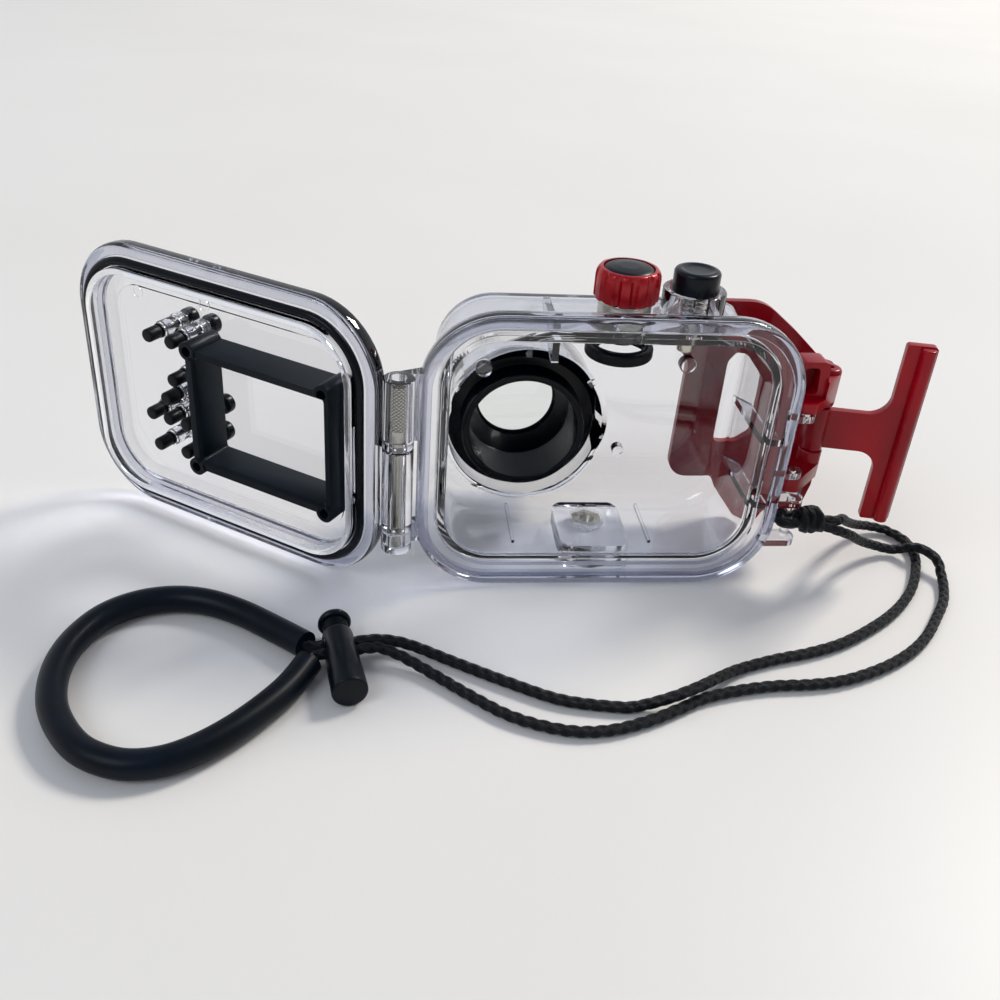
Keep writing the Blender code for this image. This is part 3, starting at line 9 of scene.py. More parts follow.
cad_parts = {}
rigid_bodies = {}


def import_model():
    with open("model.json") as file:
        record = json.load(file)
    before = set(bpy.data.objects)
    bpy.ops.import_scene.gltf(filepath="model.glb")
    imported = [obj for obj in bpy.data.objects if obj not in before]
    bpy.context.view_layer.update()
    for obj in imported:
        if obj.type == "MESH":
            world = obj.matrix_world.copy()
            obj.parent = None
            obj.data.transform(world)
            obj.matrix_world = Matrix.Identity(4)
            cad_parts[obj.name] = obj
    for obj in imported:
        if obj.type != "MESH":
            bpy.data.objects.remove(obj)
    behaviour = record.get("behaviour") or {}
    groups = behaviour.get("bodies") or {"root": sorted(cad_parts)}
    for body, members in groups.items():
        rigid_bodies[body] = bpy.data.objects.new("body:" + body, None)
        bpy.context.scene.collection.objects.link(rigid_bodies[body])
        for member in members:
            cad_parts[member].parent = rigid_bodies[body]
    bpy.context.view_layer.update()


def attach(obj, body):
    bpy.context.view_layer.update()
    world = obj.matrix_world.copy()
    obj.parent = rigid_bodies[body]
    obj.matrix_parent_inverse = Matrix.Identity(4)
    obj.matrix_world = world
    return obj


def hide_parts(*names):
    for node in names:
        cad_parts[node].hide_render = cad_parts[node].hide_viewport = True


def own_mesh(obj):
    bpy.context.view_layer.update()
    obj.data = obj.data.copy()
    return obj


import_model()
scene = bpy.context.scene
scene.view_settings.view_transform = "Standard"

# The view: a phone held in front of the open back, a little left of it, looking 32 degrees down
# and rolled by 4.5 degrees, at a normal wide focal length.
pitch, yaw, roll = math.radians(31.8), math.radians(8.0), math.radians(4.5)
forward = Vector((math.sin(yaw) * math.cos(pitch), math.cos(yaw) * math.cos(pitch), -math.sin(pitch)))
level = Vector((math.cos(yaw), -math.sin(yaw), 0))
upward = level.cross(forward)
across = level * math.cos(roll) + upward * math.sin(roll)
above = -level * math.sin(roll) + upward * math.cos(roll)
camera = bpy.data.objects.new("camera", bpy.data.cameras.new("camera"))
camera.data.sensor_width = 36
camera.data.lens = 38.39
camera.data.clip_start = 0.01
camera.matrix_world = Matrix((across, above, -forward)).transposed().to_4x4()
camera.location = (-0.0796, -0.3140, 0.2306)
scene.collection.objects.link(camera)
scene.camera = camera


# The table: a white laminate top with a soft satin sheen, wide enough to fill the view. Daylight
# comes from a window behind and to the right. The walls are pale, and duller overhead and
# behind the viewer.
def linear(colour):
    """An sRGB hex colour as linear values with alpha."""
    parts = [int(colour[i:i + 2], 16) / 255 for i in (1, 3, 5)]
    return tuple(c / 12.92 if c <= 0.04045 else ((c + 0.055) / 1.055) ** 2.4 for c in parts) + (1.0,)


def put(tree, kind, inputs=None, **settings):
    """Add a node with its settings. An input is a value, or another node's output to link."""
    made = tree.nodes.new(kind)
    for name, value in settings.items():
        setattr(made, name, value)
    for name, value in (inputs or {}).items():
        if isinstance(value, bpy.types.NodeSocket):
            tree.links.new(value, made.inputs[name])
        else:
            made.inputs[name].default_value = value
    return made


def finish_of(name, values):
    """A new material, its tree and its Principled shader with plain values on its own sockets."""
    made = bpy.data.materials.new(name)
    made.use_nodes = True
    shader = made.node_tree.nodes["Principled BSDF"]
    for socket, value in values.items():
        shader.inputs[socket].default_value = value
    return made, made.node_tree, shader


def clouds(tree, scale, detail):
    """Soft noise that is fixed to the object."""
    spot = put(tree, "ShaderNodeTexCoord").outputs["Object"]
    return put(tree, "ShaderNodeTexNoise", {"Vector": spot, "Scale": scale, "Detail": detail}).outputs["Fac"]


def toned(tree, value, target, dark, light, low=0.0, high=1.0):
    """Give a socket a colour between two tones, as a value runs from low to high."""
    ramp = put(tree, "ShaderNodeValToRGB", {"Fac": value})
    for end, at, colour in zip(ramp.color_ramp.elements, (low, high), (dark, light)):
        end.position = at
        end.color = linear(colour)
    tree.links.new(ramp.outputs["Color"], target)


def bumped(tree, shader, height, strength, distance):
    """Let a height tilt the shader's normal."""
    bump = put(tree, "ShaderNodeBump", {"Height": height, "Strength": strength, "Distance": distance})
    tree.links.new(bump.outputs["Normal"], shader.inputs["Normal"])


laminate, tree, shader = finish_of("white_laminate", {"Roughness": 0.42, "Specular IOR Level": 0.35})
toned(tree, clouds(tree, 4.0, 2.0), shader.inputs["Base Color"], "#E6E5E1", "#EFEEEB")
table = bpy.data.objects.new("table_top", bpy.data.meshes.new("table_top"))
bm = bmesh.new()
bmesh.ops.create_grid(bm, x_segments=2, y_segments=2, size=3.0)
bm.to_mesh(table.data)
bm.free()
table.data.materials.append(laminate)
table.location = (0, 0, -0.0002)
scene.collection.objects.link(table)

room = bpy.data.worlds.new("white_room")
scene.world = room
room.use_nodes = True
tree = room.node_tree
heading = put(tree, "ShaderNodeTexCoord")
parts = put(tree, "ShaderNodeSeparateXYZ", {"Vector": heading.outputs["Generated"]})
toned(tree, parts.outputs["Z"], tree.nodes["Background"].inputs["Color"], "#E9EBEF", "#A3A8B6", 0.15, 0.85)
towards = put(tree, "ShaderNodeMapRange", {
    "Value": parts.outputs["Y"], "From Min": -0.7, "From Max": 0.7, "To Min": 0.42, "To Max": 1.0})
tree.links.new(towards.outputs["Result"], tree.nodes["Background"].inputs["Strength"])


def window_light(name, size, power, place, colour):
    """A soft rectangle of light that faces the middle of the table."""
    lamp = bpy.data.lights.new(name, "AREA")
    lamp.shape = "RECTANGLE"
    lamp.size, lamp.size_y = size
    lamp.energy = power
    lamp.color = linear(colour)[:3]
    made = bpy.data.objects.new(name, lamp)
    made.location = place
    made.rotation_euler = (-Vector(place)).to_track_quat("-Z", "Y").to_euler()
    scene.collection.objects.link(made)


window_light("window", (1.1, 1.1), 160.0, (2.9, 2.0, 3.3), "#FFF8EE")
window_light("room_fill", (2.5, 2.0), 50.0, (-2.4, -2.0, 3.2), "#EEF4FF")


# The lanyard's cord: a black polyester braid, 3.7 mm thick, doubled, looped round the bracket's
# bar and knotted there. Its plaits cross in small diamonds, dull black with a faint satin shine,
# and painted shade darkens the colour between them.
CORD_DIAMETER = 0.0037
PLAITS, PLAIT_PITCH = 3, 0.0044
STEP = 0.0007


def metres(route):
    """A route's places from millimetres."""
    return [Vector(place) / 1000 for place in route]


def smooth_route(points, spacing):
    """Even points along a smooth curve through a given route."""
    dense = []
    for i in range(len(points) - 1):
        before, start, end = points[max(i - 1, 0)], points[i], points[i + 1]
        after = points[min(i + 2, len(points) - 1)]
        for k in range(16):
            t = k / 16
            dense.append(0.5 * (2 * start + (end - before) * t
                                + (2 * before - 5 * start + 4 * end - after) * t * t
                                + (3 * start - before - 3 * end + after) * t ** 3))
    dense.append(points[-1])
    lengths = [0.0]
    for first, second in zip(dense, dense[1:]):
        lengths.append(lengths[-1] + (second - first).length)
    count = max(2, round(lengths[-1] / spacing))
    made, at = [], 0
    for k in range(count + 1):
        wanted = lengths[-1] * k / count
        while at < len(dense) - 2 and lengths[at + 1] < wanted:
            at += 1
        share = (wanted - lengths[at]) / (lengths[at + 1] - lengths[at])
        made.append(dense[at].lerp(dense[at + 1], min(share, 1)))
    return made


def along_route(name, routes, radius, sides, dress, relief=None):
    """A mesh tube along each route, with a UV map: u goes round and v runs along in metres.

    relief(angle, run) gives the share of the radius that the surface stands proud.
    """
    bm = bmesh.new()
    marks = bm.loops.layers.uv.new("surface")
    for points in routes:
        side = None
        rings, runs, run = [], [], 0.0
        for i, point in enumerate(points):
            ahead = (points[min(i + 1, len(points) - 1)] - points[max(i - 1, 0)]).normalized()
            if side is None:
                side = ahead.orthogonal().normalized()
            side = (side - ahead * side.dot(ahead)).normalized()
            other = ahead.cross(side)
            if i:
                run += (point - points[i - 1]).length
            ring = []
            for k in range(sides):
                a = 2 * math.pi * k / sides
                reach = radius * (1 + (relief(a, run) if relief else 0))
                ring.append(bm.verts.new(point + (side * math.cos(a) + other * math.sin(a)) * reach))
            rings.append(ring)
            runs.append(run)
        for i in range(len(rings) - 1):
            for k in range(sides):
                n = (k + 1) % sides
                face = bm.faces.new((rings[i][k], rings[i][n], rings[i + 1][n], rings[i + 1][k]))
                for loop, (u, v) in zip(face.loops, ((k, runs[i]), (k + 1, runs[i]),
                                                     (k + 1, runs[i + 1]), (k, runs[i + 1]))):
                    loop[marks].uv = (u / sides, v)
        bm.faces.new(reversed(rings[0]))
        bm.faces.new(rings[-1])
    return settled(name, bm, dress, 60)


def faced_out(bm):
    """A closed mesh with its faces pointing out, told by the sign of its volume."""
    if bm.calc_volume(signed=True) < 0:
        bmesh.ops.reverse_faces(bm, faces=bm.faces)
    return bm


def settled(name, bm, dress, angle=35):
    """An object at the origin from a mesh, with outward faces and smooth rounds."""
    mesh = bpy.data.meshes.new(name)
    faced_out(bm).to_mesh(mesh)
    bm.free()
    mesh.shade_smooth()
    mesh.set_sharp_from_angle(angle=math.radians(angle))
    mesh.materials.append(dress)
    made = bpy.data.objects.new(name, mesh)
    scene.collection.objects.link(made)
    return made


def fitted(piece, body, slot, *nodes):
    """The piece rides on a body and stands for CAD nodes."""
    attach(piece, body)
    if nodes:
        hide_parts(*nodes)
    return piece


def placed(name, bm, dress, body, slot, *nodes, angle=35):
    """A finished piece in its place."""
    return fitted(settled(name, bm, dress, angle), body, slot, *nodes)


def slanted(angle, run, count, pitch):
    """Two sets of slanted waves on a tube: count to a turn, and one to each pitch along it."""
    return [math.sin(count * angle + way * run * 2 * math.pi / pitch) for way in (1, -1)]


def plaits(angle, run):
    """Yarn bundles over and under each other."""
    return 0.13 * max(slanted(angle, run, PLAITS, PLAIT_PITCH)) - 0.10


def worked(tree, operation, *values):
    """The result of a sum on one or two values."""
    return put(tree, "ShaderNodeMath", dict(enumerate(values)), operation=operation).outputs[0]


def crossing(tree, count, pitch):
    """The same slanted waves as colours and heights, from the tube's UV map."""
    where = put(tree, "ShaderNodeUVMap", uv_map="surface")
    parts = put(tree, "ShaderNodeSeparateXYZ", {"Vector": where.outputs["UV"]})
    around = worked(tree, "MULTIPLY", parts.outputs["X"], 2 * math.pi * count)
    onward = worked(tree, "MULTIPLY", parts.outputs["Y"], 2 * math.pi / pitch)
    return [worked(tree, "SINE", worked(tree, way, around, onward)) for way in ("ADD", "SUBTRACT")]


braid, tree, shader = finish_of("braided_polyester", {"Roughness": 0.38, "Specular IOR Level": 0.25})
yarns = worked(tree, "MAXIMUM", *crossing(tree, PLAITS, PLAIT_PITCH))
# Painted shade: the base colour is darker between the yarn bundles and lighter on their crests.
toned(tree, yarns, shader.inputs["Base Color"], "#020407", "#0C151D")
fuzz = put(tree, "ShaderNodeTexNoise", {"Scale": 900.0, "Detail": 3.0})
bumped(tree, shader, worked(tree, "ADD", yarns, fuzz.outputs["Fac"]), 0.7, 0.0003)

STRAND_1 = [(90, 1.8, 24.5), (96, 7.8, 21.5), (104, 18.5, 13.2), (112, 26, 7), (120.5, 30, 3.5),
            (128, 29, 2), (132.5, 22, 1.9), (132.2, 12, 1.9), (127.5, 0.5, 1.9), (120.5, -11, 1.9),
            (111, -21.5, 1.9), (99, -31, 1.9), (83.2, -40.5, 1.9), (68.9, -45.8, 1.9), (55.1, -49.2, 1.9),
            (41.2, -54, 2.1), (31, -61.2, 4.5), (22.5, -67.2, 6.1), (13, -70, 4.5), (3, -70.8, 2.1),
            (-4.3, -70.5, 1.9), (-20.7, -66.9, 1.9), (-36.9, -58.2, 1.9), (-53.2, -48.2, 1.9),
            (-65, -41.5, 2.6), (-72, -40.2, 4.2), (-78.7, -40.8, 5.5), (-85.57, -42.17, 5.75)]
STRAND_2 = [(90, -2.2, 22.8), (97.5, 1, 18.5), (106, 8.5, 11), (115, 13.5, 5.5), (124, 14.5, 2.8),
            (131.5, 11, 6.1), (136.2, 4, 5.8), (136.2, -3, 2.6), (134, -10, 1.9), (130, -18, 1.9),
            (123, -27.5, 1.9), (114.4, -37.9, 1.9), (104, -46.8, 1.9), (90.8, -54.4, 1.9),
            (75.7, -60, 1.9), (63.2, -61.8, 1.9), (50.9, -62.2, 1.9), (38.1, -64.1, 1.9),
            (25.6, -67.5, 1.9), (16.2, -72.2, 1.9), (5.8, -77, 1.9), (-6.2, -80.6, 1.9),
            (-17.2, -81.1, 1.9), (-27.9, -78.3, 1.9), (-38.5, -73, 1.9), (-48.9, -64.4, 1.9),
            (-59.4, -55, 2.1), (-66, -50, 3), (-72, -46.7, 4.4), (-78, -44.9, 5.5), (-84.86, -46.2, 5.75)]
bar = Vector((0.0705, 0, 0.0262))
knot = Vector((0.0790, 0, 0.0262))
turns = [math.radians(60 + 15 * k) for k in range(17)]
bight = [knot + Vector((0.0, 0.0024, 0.0004))]
bight += [bar + Vector((0.0038 * math.cos(a), 0.0038 * math.sin(a), 0.0005)) for a in turns]
bight += [knot + Vector((0.0, -0.0024, -0.0002))]
wraps = []
for k in range(45):
    a = 2 * math.pi * k / 18 + 1.0
    wraps.append(knot + Vector((-0.0034 + 0.0068 * k / 44, 0.0036 * math.cos(a), 0.0033 * math.sin(a))))
collar_turn = [knot + Vector((0.0046 * math.cos(a), 0.0018 + 0.0034 * math.sin(a), 0.0014 * math.sin(2 * a)))
               for a in [2 * math.pi * k / 28 for k in range(29)]]
lanyard_knot = along_route("lanyard_knot", [smooth_route(way, STEP) for way in (bight, wraps, collar_turn)],
                           CORD_DIAMETER / 2 * 0.96, 24, braid, plaits)
fitted(lanyard_knot, "housing", "cord", "lanyard_cord")
strands = []
for number, (route, start) in enumerate(((STRAND_1, (0, 0.0008, 0)), (STRAND_2, (0, -0.0012, 0)))):
    points = smooth_route([knot + Vector(start)] + metres(route), STEP)
    strand = along_route(f"lanyard_strand_{number + 1}", [points], CORD_DIAMETER / 2, 24, braid, plaits)
    fitted(strand, "housing", "cord", "lanyard_cord")
    strands.append((strand, points))


def run_of(points):
    """The length of a row of points."""
    return sum((b - a).length for a, b in zip(points, points[1:]))


# The wrist tube: soft black rubber hose, 9 mm thick, over the cord's end. It lies in one open
# loop, matt with a faint satin line of light, and both ends stop short of the cord lock.
WRIST_DIAMETER = 0.009
WRIST = [(-101, -42.9, 5.3), (-110.6, -34.5, 4.7), (-123.1, -25, 4.6), (-135.3, -18.8, 4.6),
         (-147.1, -17.1, 4.6), (-158.5, -20, 4.6), (-168.1, -27.6, 4.6), (-174.3, -40.3, 4.6),
         (-176, -53.6, 4.6), (-173.7, -67.4, 4.6), (-167.8, -79.1, 4.6), (-160.1, -87.7, 4.6),
         (-149.3, -92.6, 4.6), (-138.6, -92.1, 4.6), (-129, -87.5, 4.6), (-119.8, -80, 4.6),
         (-111.3, -70.6, 4.6), (-104.8, -61.5, 4.7), (-99.6, -51.5, 5.3)]


def rubber_finish(name, dark, light, roughness, grain=700.0, depth=0.00004, coat=0.0):
    """Moulded rubber or plastic: near black, with faint clouds of bloom and a fine matt grain."""
    made, tree, shader = finish_of(name, {
        "Roughness": roughness, "Specular IOR Level": 0.16, "Coat Weight": coat,
        "Coat Roughness": 0.12 if coat else 0.03})
    toned(tree, clouds(tree, 60.0, 4.0), shader.inputs["Base Color"], dark, light, 0.3, 0.75)
    bumped(tree, shader, clouds(tree, grain, 2.0), 0.25, depth)
    return made


soft_rubber = rubber_finish("moulded_nitrile_rubber", "#000810", "#05131C", 0.45)
hose = rubber_finish("extruded_rubber_hose", "#020910", "#081320", 0.38, 300.0)
points = smooth_route(metres(WRIST), 0.002)
wrist_hose = along_route("wrist_hose", [points], WRIST_DIAMETER / 2, 28, hose)
fitted(wrist_hose, "housing", "black_rubber", "wrist_tube")
ends = ([(-95, -43.8, 5.75), (-98.2, -44.2, 5.7), (-101, -42.9, 5.3), (-102.5, -41.6, 5.2)],
        [(-94.3, -47.9, 5.75), (-97.4, -48.6, 5.7), (-99.6, -51.5, 5.3), (-100.6, -53.3, 5.2)])
stubs = along_route("wrist_cord_ends", [smooth_route(metres(end), STEP) for end in ends],
                    CORD_DIAMETER / 2, 24, braid, plaits)
fitted(stubs, "housing", "cord")
tuple(points[0])
run_of(points)
[tuple(p) for p in points]
for number, (strand, points) in enumerate(strands):
    tuple(points[0])
    run_of(points)
    [tuple(p) for p in points]

# The cord lock: a black nylon barrel, 28 mm long, that lies on its side. A ribbed plunger with a
# mushroom head stands out of its top, and a spring under the plunger grips both strands.
LOCK_X, LOCK_Y, LOCK_TURN = -0.0886, -0.0527, math.radians(9.9)
LOCK_RADIUS, LOCK_LENGTH = 0.00575, 0.028
LOCK_TOP = LOCK_Y + LOCK_LENGTH / 2
LOCK_BORE = LOCK_TOP - 0.022


def softened(points, closed=False):
    """An outline with its corners rounded. Each point is two values and a radius."""
    made = []
    count = len(points)
    for i, (u, v, radius) in enumerate(points):
        corner = Vector((u, v))
        if not radius or (not closed and i in (0, count - 1)):
            made.append((u, v))
            continue
        before = Vector(points[i - 1][:2]) - corner
        after = Vector(points[(i + 1) % count][:2]) - corner
        half = before.angle(after) / 2
        reach = min(radius / math.tan(half), 0.49 * before.length, 0.49 * after.length)
        radius = reach * math.tan(half)
        middle = corner + (before.normalized() + after.normalized()).normalized() * radius / math.sin(half)
        start = corner + before.normalized() * reach - middle
        turn = start.angle_signed(corner + after.normalized() * reach - middle)
        steps = max(2, round(abs(turn) / (math.pi / 2) * min(10, 3 + radius * 1000)))
        for k in range(steps + 1):
            made.append(tuple(middle + Matrix.Rotation(-turn * k / steps, 2) @ start))
    return made


def polar(middle, radius, angle):
    """Two values at a radius and an angle about a middle."""
    return middle[0] + radius * math.cos(angle), middle[1] + radius * math.sin(angle)


def along(axis, u, v, w):
    """A point from two values across an axis and one along it."""
    return Vector({"X": (w, u, v), "Y": (u, w, v), "Z": (u, v, w)}[axis])


def skinned(rings, closed=False):
    """A skin over rings of equal counts, capped or closed on itself."""
    bm = bmesh.new()
    made = [[bm.verts.new(point) for point in ring] for ring in rings]
    pairs = list(zip(made, made[1:])) + ([(made[-1], made[0])] if closed else [])
    for first, second in pairs:
        for i in range(len(first)):
            j = (i + 1) % len(first)
            bm.faces.new((first[i], first[j], second[j], second[i]))
    if not closed:
        bm.faces.new(reversed(made[0]))
        bm.faces.new(made[-1])
    return faced_out(bm)


def turned(profile, middle, axis="Z", steps=48, closed=False):
    """A profile of radius and height, turned about an axis through a point across it."""
    bm = bmesh.new()
    rings = []
    for radius, height in profile:
        if radius < 1e-6:
            rings.append([bm.verts.new(along(axis, *middle, height))])
        else:
            angles = [2 * math.pi * k / steps for k in range(steps)]
            rings.append([bm.verts.new(along(axis, *polar(middle, radius, a), height)) for a in angles])
    pairs = list(zip(rings, rings[1:])) + ([(rings[-1], rings[0])] if closed else [])
    for first, second in pairs:
        for k in range(steps):
            n = (k + 1) % steps
            corners = [first[k % len(first)], first[n % len(first)],
                       second[n % len(second)], second[k % len(second)]]
            face = [v for i, v in enumerate(corners) if v not in corners[:i]]
            if len(face) > 2:
                bm.faces.new(face)
    return faced_out(bm)


def lathed(profile, middle, axis="Z", steps=48, ring=False):
    """A profile with rounded corners, turned. A ring's profile is closed on itself."""
    return turned(softened(profile, ring), middle, axis, steps, ring)


def rod(radius, middle, low, high, axis="Z", steps=40, ease=0.0004):
    """A round bar with eased ends."""
    return lathed([(0, low, 0), (radius, low, ease), (radius, high, ease), (0, high, 0)], middle,
                  axis, steps)


def slab(outline, low, high, axis="Z"):
    """A flat outline with a thickness."""
    return skinned([[along(axis, u, v, w) for u, v in outline] for w in (low, high)])


def plate(outline, low, high, axis="Z"):
    """A flat outline with rounded corners and a thickness."""
    return slab(softened(outline, True), low, high, axis)


def block(low, high, axis="Z"):
    """A plain block that joins or cuts another piece."""
    return slab([(low[0], low[1]), (high[0], low[1]), (high[0], high[1]), (low[0], high[1])], low[2], high[2],
                axis)


def baked(guide):
    """The guide's mesh with its modifiers applied. The guide itself goes."""
    mesh = bpy.data.meshes.new_from_object(guide.evaluated_get(bpy.context.evaluated_depsgraph_get()))
    bpy.data.objects.remove(guide)
    made = bmesh.new()
    made.from_mesh(mesh)
    return made


WELD = 0.000004


def assembled(base, adds=(), cuts=(), within=()):
    """The base, kept only inside a solid, with some solids joined to it and then some cut from it."""
    groups = []
    guides = []
    for shapes in ([base], within, adds, cuts):
        group = bpy.data.collections.new("guides")
        for shape in shapes:
            mesh = bpy.data.meshes.new("guide")
            shape.to_mesh(mesh)
            shape.free()
            guide = bpy.data.objects.new("guide", mesh)
            group.objects.link(guide)
            guides.append(guide)
        scene.collection.children.link(group)
        groups.append(group)
    for group, operation in zip(groups[1:], ("INTERSECT", "UNION", "DIFFERENCE")):
        if group.objects:
            step = guides[0].modifiers.new(operation, "BOOLEAN")
            step.operation, step.solver = operation, "EXACT"
            step.operand_type, step.collection = "COLLECTION", group
    made = baked(guides[0])
    for guide in guides[1:]:
        bpy.data.objects.remove(guide)
    for group in groups:
        bpy.data.collections.remove(group)
    bmesh.ops.remove_doubles(made, verts=made.verts, dist=WELD)
    bmesh.ops.dissolve_degenerate(made, edges=made.edges, dist=WELD)
    return made


def eased(bm, width, segments=3, angle=38):
    """The piece with its sharp edges rounded."""
    edges = [e for e in bm.edges if len(e.link_faces) == 2 and e.calc_face_angle(0) > math.radians(angle)]
    bmesh.ops.bevel(bm, geom=edges, offset=width, segments=segments, profile=0.6, affect="EDGES",
                    clamp_overlap=True)
    return bm


def turn_about(x, y, turn):
    """A turn about an upright axis."""
    return Matrix.Translation((x, y, 0)) @ Matrix.Rotation(turn, 4, "Z") @ Matrix.Translation((-x, -y, 0))


def swung(bm, x, y, turn):
    """The piece turned about an upright axis."""
    bm.transform(turn_about(x, y, turn))
    return bm


def moulded_black(name, dark, light, roughness, coat):
    """Injection-moulded nylon or ABS: near black with a blue cast, satin, with a spark-eroded grain."""
    return rubber_finish(name, dark, light, roughness, 1800.0, 0.00002, coat)


nylon = moulded_black("moulded_nylon", "#030A10", "#0A151D", 0.34, 0.06)
centre = (LOCK_X, LOCK_RADIUS)
slot_middle = LOCK_TOP - 0.0062
barrel = assembled(
    lathed([(0, LOCK_TOP - LOCK_LENGTH, 0), (LOCK_RADIUS, LOCK_TOP - LOCK_LENGTH, 0.0009),
            (LOCK_RADIUS - 0.0001, LOCK_TOP - 0.020, 0.004),
            (LOCK_RADIUS - 0.0007, LOCK_TOP, 0.0006), (0, LOCK_TOP, 0)], centre, "Y", 56),
    cuts=[rod(0.0045, centre, LOCK_BORE, LOCK_TOP + 0.001, "Y", 48, 0),
          plate([(slot_middle - 0.0046, LOCK_RADIUS - 0.00225, 0.0018),
                 (slot_middle + 0.0046, LOCK_RADIUS - 0.00225, 0.0018),
                 (slot_middle + 0.0046, LOCK_RADIUS + 0.00225, 0.0018),
                 (slot_middle - 0.0046, LOCK_RADIUS + 0.00225, 0.0018)],
                LOCK_X - 0.01, LOCK_X + 0.01, "X")])
placed("lock_sleeve", swung(eased(barrel, 0.0003, 2), LOCK_X, LOCK_Y, LOCK_TURN), nylon, "housing",
       "black_plastic", "lock_barrel")
ribs = []
for k in range(5):
    height = LOCK_TOP + 0.0006 + k * 0.00095
    ribs += [(0.0042, height, 0.0002), (0.0042, height + 0.00055, 0.0002), (0.0037, height + 0.00065, 0),
             (0.0037, height + 0.00085, 0)]
plunger = assembled(
    lathed([(0, LOCK_TOP - 0.0135, 0), (0.0042, LOCK_TOP - 0.0135, 0.0004), *ribs,
            (0.0034, LOCK_TOP + 0.0054, 0.0002), (0.0050, LOCK_TOP + 0.0055, 0.0004),
            (0.0056, LOCK_TOP + 0.0064, 0.0006), (0.0052, LOCK_TOP + 0.0079, 0.001),
            (0.0030, LOCK_TOP + 0.0085, 0.002), (0, LOCK_TOP + 0.0085, 0)], centre, "Y", 56),
    cuts=[block((LOCK_X - 0.01, slot_middle - 0.0046, LOCK_RADIUS - 0.00225),
                (LOCK_X + 0.01, slot_middle + 0.0046, LOCK_RADIUS + 0.00225)),
          block((LOCK_X - 0.0008, LOCK_TOP + 0.0075, LOCK_RADIUS - 0.007),
                (LOCK_X + 0.0008, LOCK_TOP + 0.0095, LOCK_RADIUS + 0.007))])
placed("lock_button", swung(plunger, LOCK_X, LOCK_Y, LOCK_TURN), nylon, "lock_plunger",
       "black_plastic", "lock_plunger")


# The springs: hard-drawn stainless wire, wound as open coils. They are bright, with the faint
# lines of the drawing.
def metal_finish(name, dark, light, roughness, values=None):
    """Turned or drawn metal: its tone varies a little, with fine tool lines about the upright axis."""
    made, tree, shader = finish_of(name, {"Metallic": 1.0, "Roughness": roughness, **(values or {})})
    toned(tree, clouds(tree, 240.0, 3.0), shader.inputs["Base Color"], dark, light)
    spot = put(tree, "ShaderNodeTexCoord").outputs["Object"]
    band = put(tree, "ShaderNodeTexWave", {"Vector": spot, "Scale": 9000.0, "Distortion": 1.0},
               bands_direction="Z")
    bumped(tree, shader, band.outputs["Fac"], 0.12, 0.00003)
    return made


stainless = metal_finish("turned_stainless_steel", "#A9A596", "#D2CFC2", 0.2)
spring_wire = metal_finish("drawn_spring_wire", "#A19F98", "#CBC9C2", 0.24)


def shaping(name, *inputs):
    """A new geometry tree with named number inputs, its input node, and each input's identifier."""
    tree = bpy.data.node_groups.new(name, "GeometryNodeTree")
    tree.interface.new_socket("Geometry", in_out="OUTPUT", socket_type="NodeSocketGeometry")
    tree.interface.new_socket("Geometry", in_out="INPUT", socket_type="NodeSocketGeometry")
    known = {}
    for label in inputs:
        made = tree.interface.new_socket(label, in_out="INPUT", socket_type="NodeSocketFloat")
        known[label] = made.identifier
    return tree, put(tree, "NodeGroupInput"), known


def dressed(tree, geometry, dress):
    """End a geometry tree: realize the instances and set the material."""
    solid = put(tree, "GeometryNodeRealizeInstances", {"Geometry": geometry})
    clad = put(tree, "GeometryNodeSetMaterial", {"Geometry": solid.outputs["Geometry"], "Material": dress})
    put(tree, "NodeGroupOutput", {"Geometry": clad.outputs["Geometry"]})


def shaped(name, seats, tree, known, values):
    """What a geometry tree makes on some places, with its numbers set."""
    mesh = bpy.data.meshes.new(name)
    mesh.from_pydata(seats, [], [])
    guide = bpy.data.objects.new(name, mesh)
    scene.collection.objects.link(guide)
    step = guide.modifiers.new("shape", "NODES")
    step.node_group = tree
    for label, value in values.items():
        step[known[label]] = value
    return baked(guide)


coiling, given, sizes = shaping("compression_spring", "Coil Radius", "Wire Radius", "Length", "Curls")
helix = put(coiling, "GeometryNodeCurveSpiral", {
    "Resolution": 28, "Rotations": given.outputs["Curls"], "Start Radius": given.outputs["Coil Radius"],
    "End Radius": given.outputs["Coil Radius"], "Height": given.outputs["Length"]})
wire = put(coiling, "GeometryNodeCurvePrimitiveCircle", {
    "Resolution": 10, "Radius": given.outputs["Wire Radius"]})
skin = put(coiling, "GeometryNodeCurveToMesh", {
    "Curve": helix.outputs["Curve"], "Profile Curve": wire.outputs["Curve"], "Fill Caps": True})
dressed(coiling, skin.outputs["Mesh"], spring_wire)


def spring(name, radius, wire_diameter, length, curls, place, body, node):
    """A spring wound up Z from 0, set in its place."""
    bm = shaped(name, [], coiling, sizes, {
        "Coil Radius": radius, "Wire Radius": wire_diameter / 2, "Length": length - wire_diameter,
        "Curls": float(curls)})
    bmesh.ops.translate(bm, verts=bm.verts, vec=(0, 0, wire_diameter / 2))
    bm.transform(place)
    made = placed(name, bm, spring_wire, body, "steel", node)
    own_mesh(made)


place = (turn_about(LOCK_X, LOCK_Y, LOCK_TURN) @ Matrix.Translation((LOCK_X, LOCK_BORE + 0.0003, LOCK_RADIUS))
         @ Matrix.Rotation(-math.pi / 2, 4, "X"))
spring("lock_coil", 0.0032, 0.0008, 0.0079, 4, place, "housing", "lock_spring")
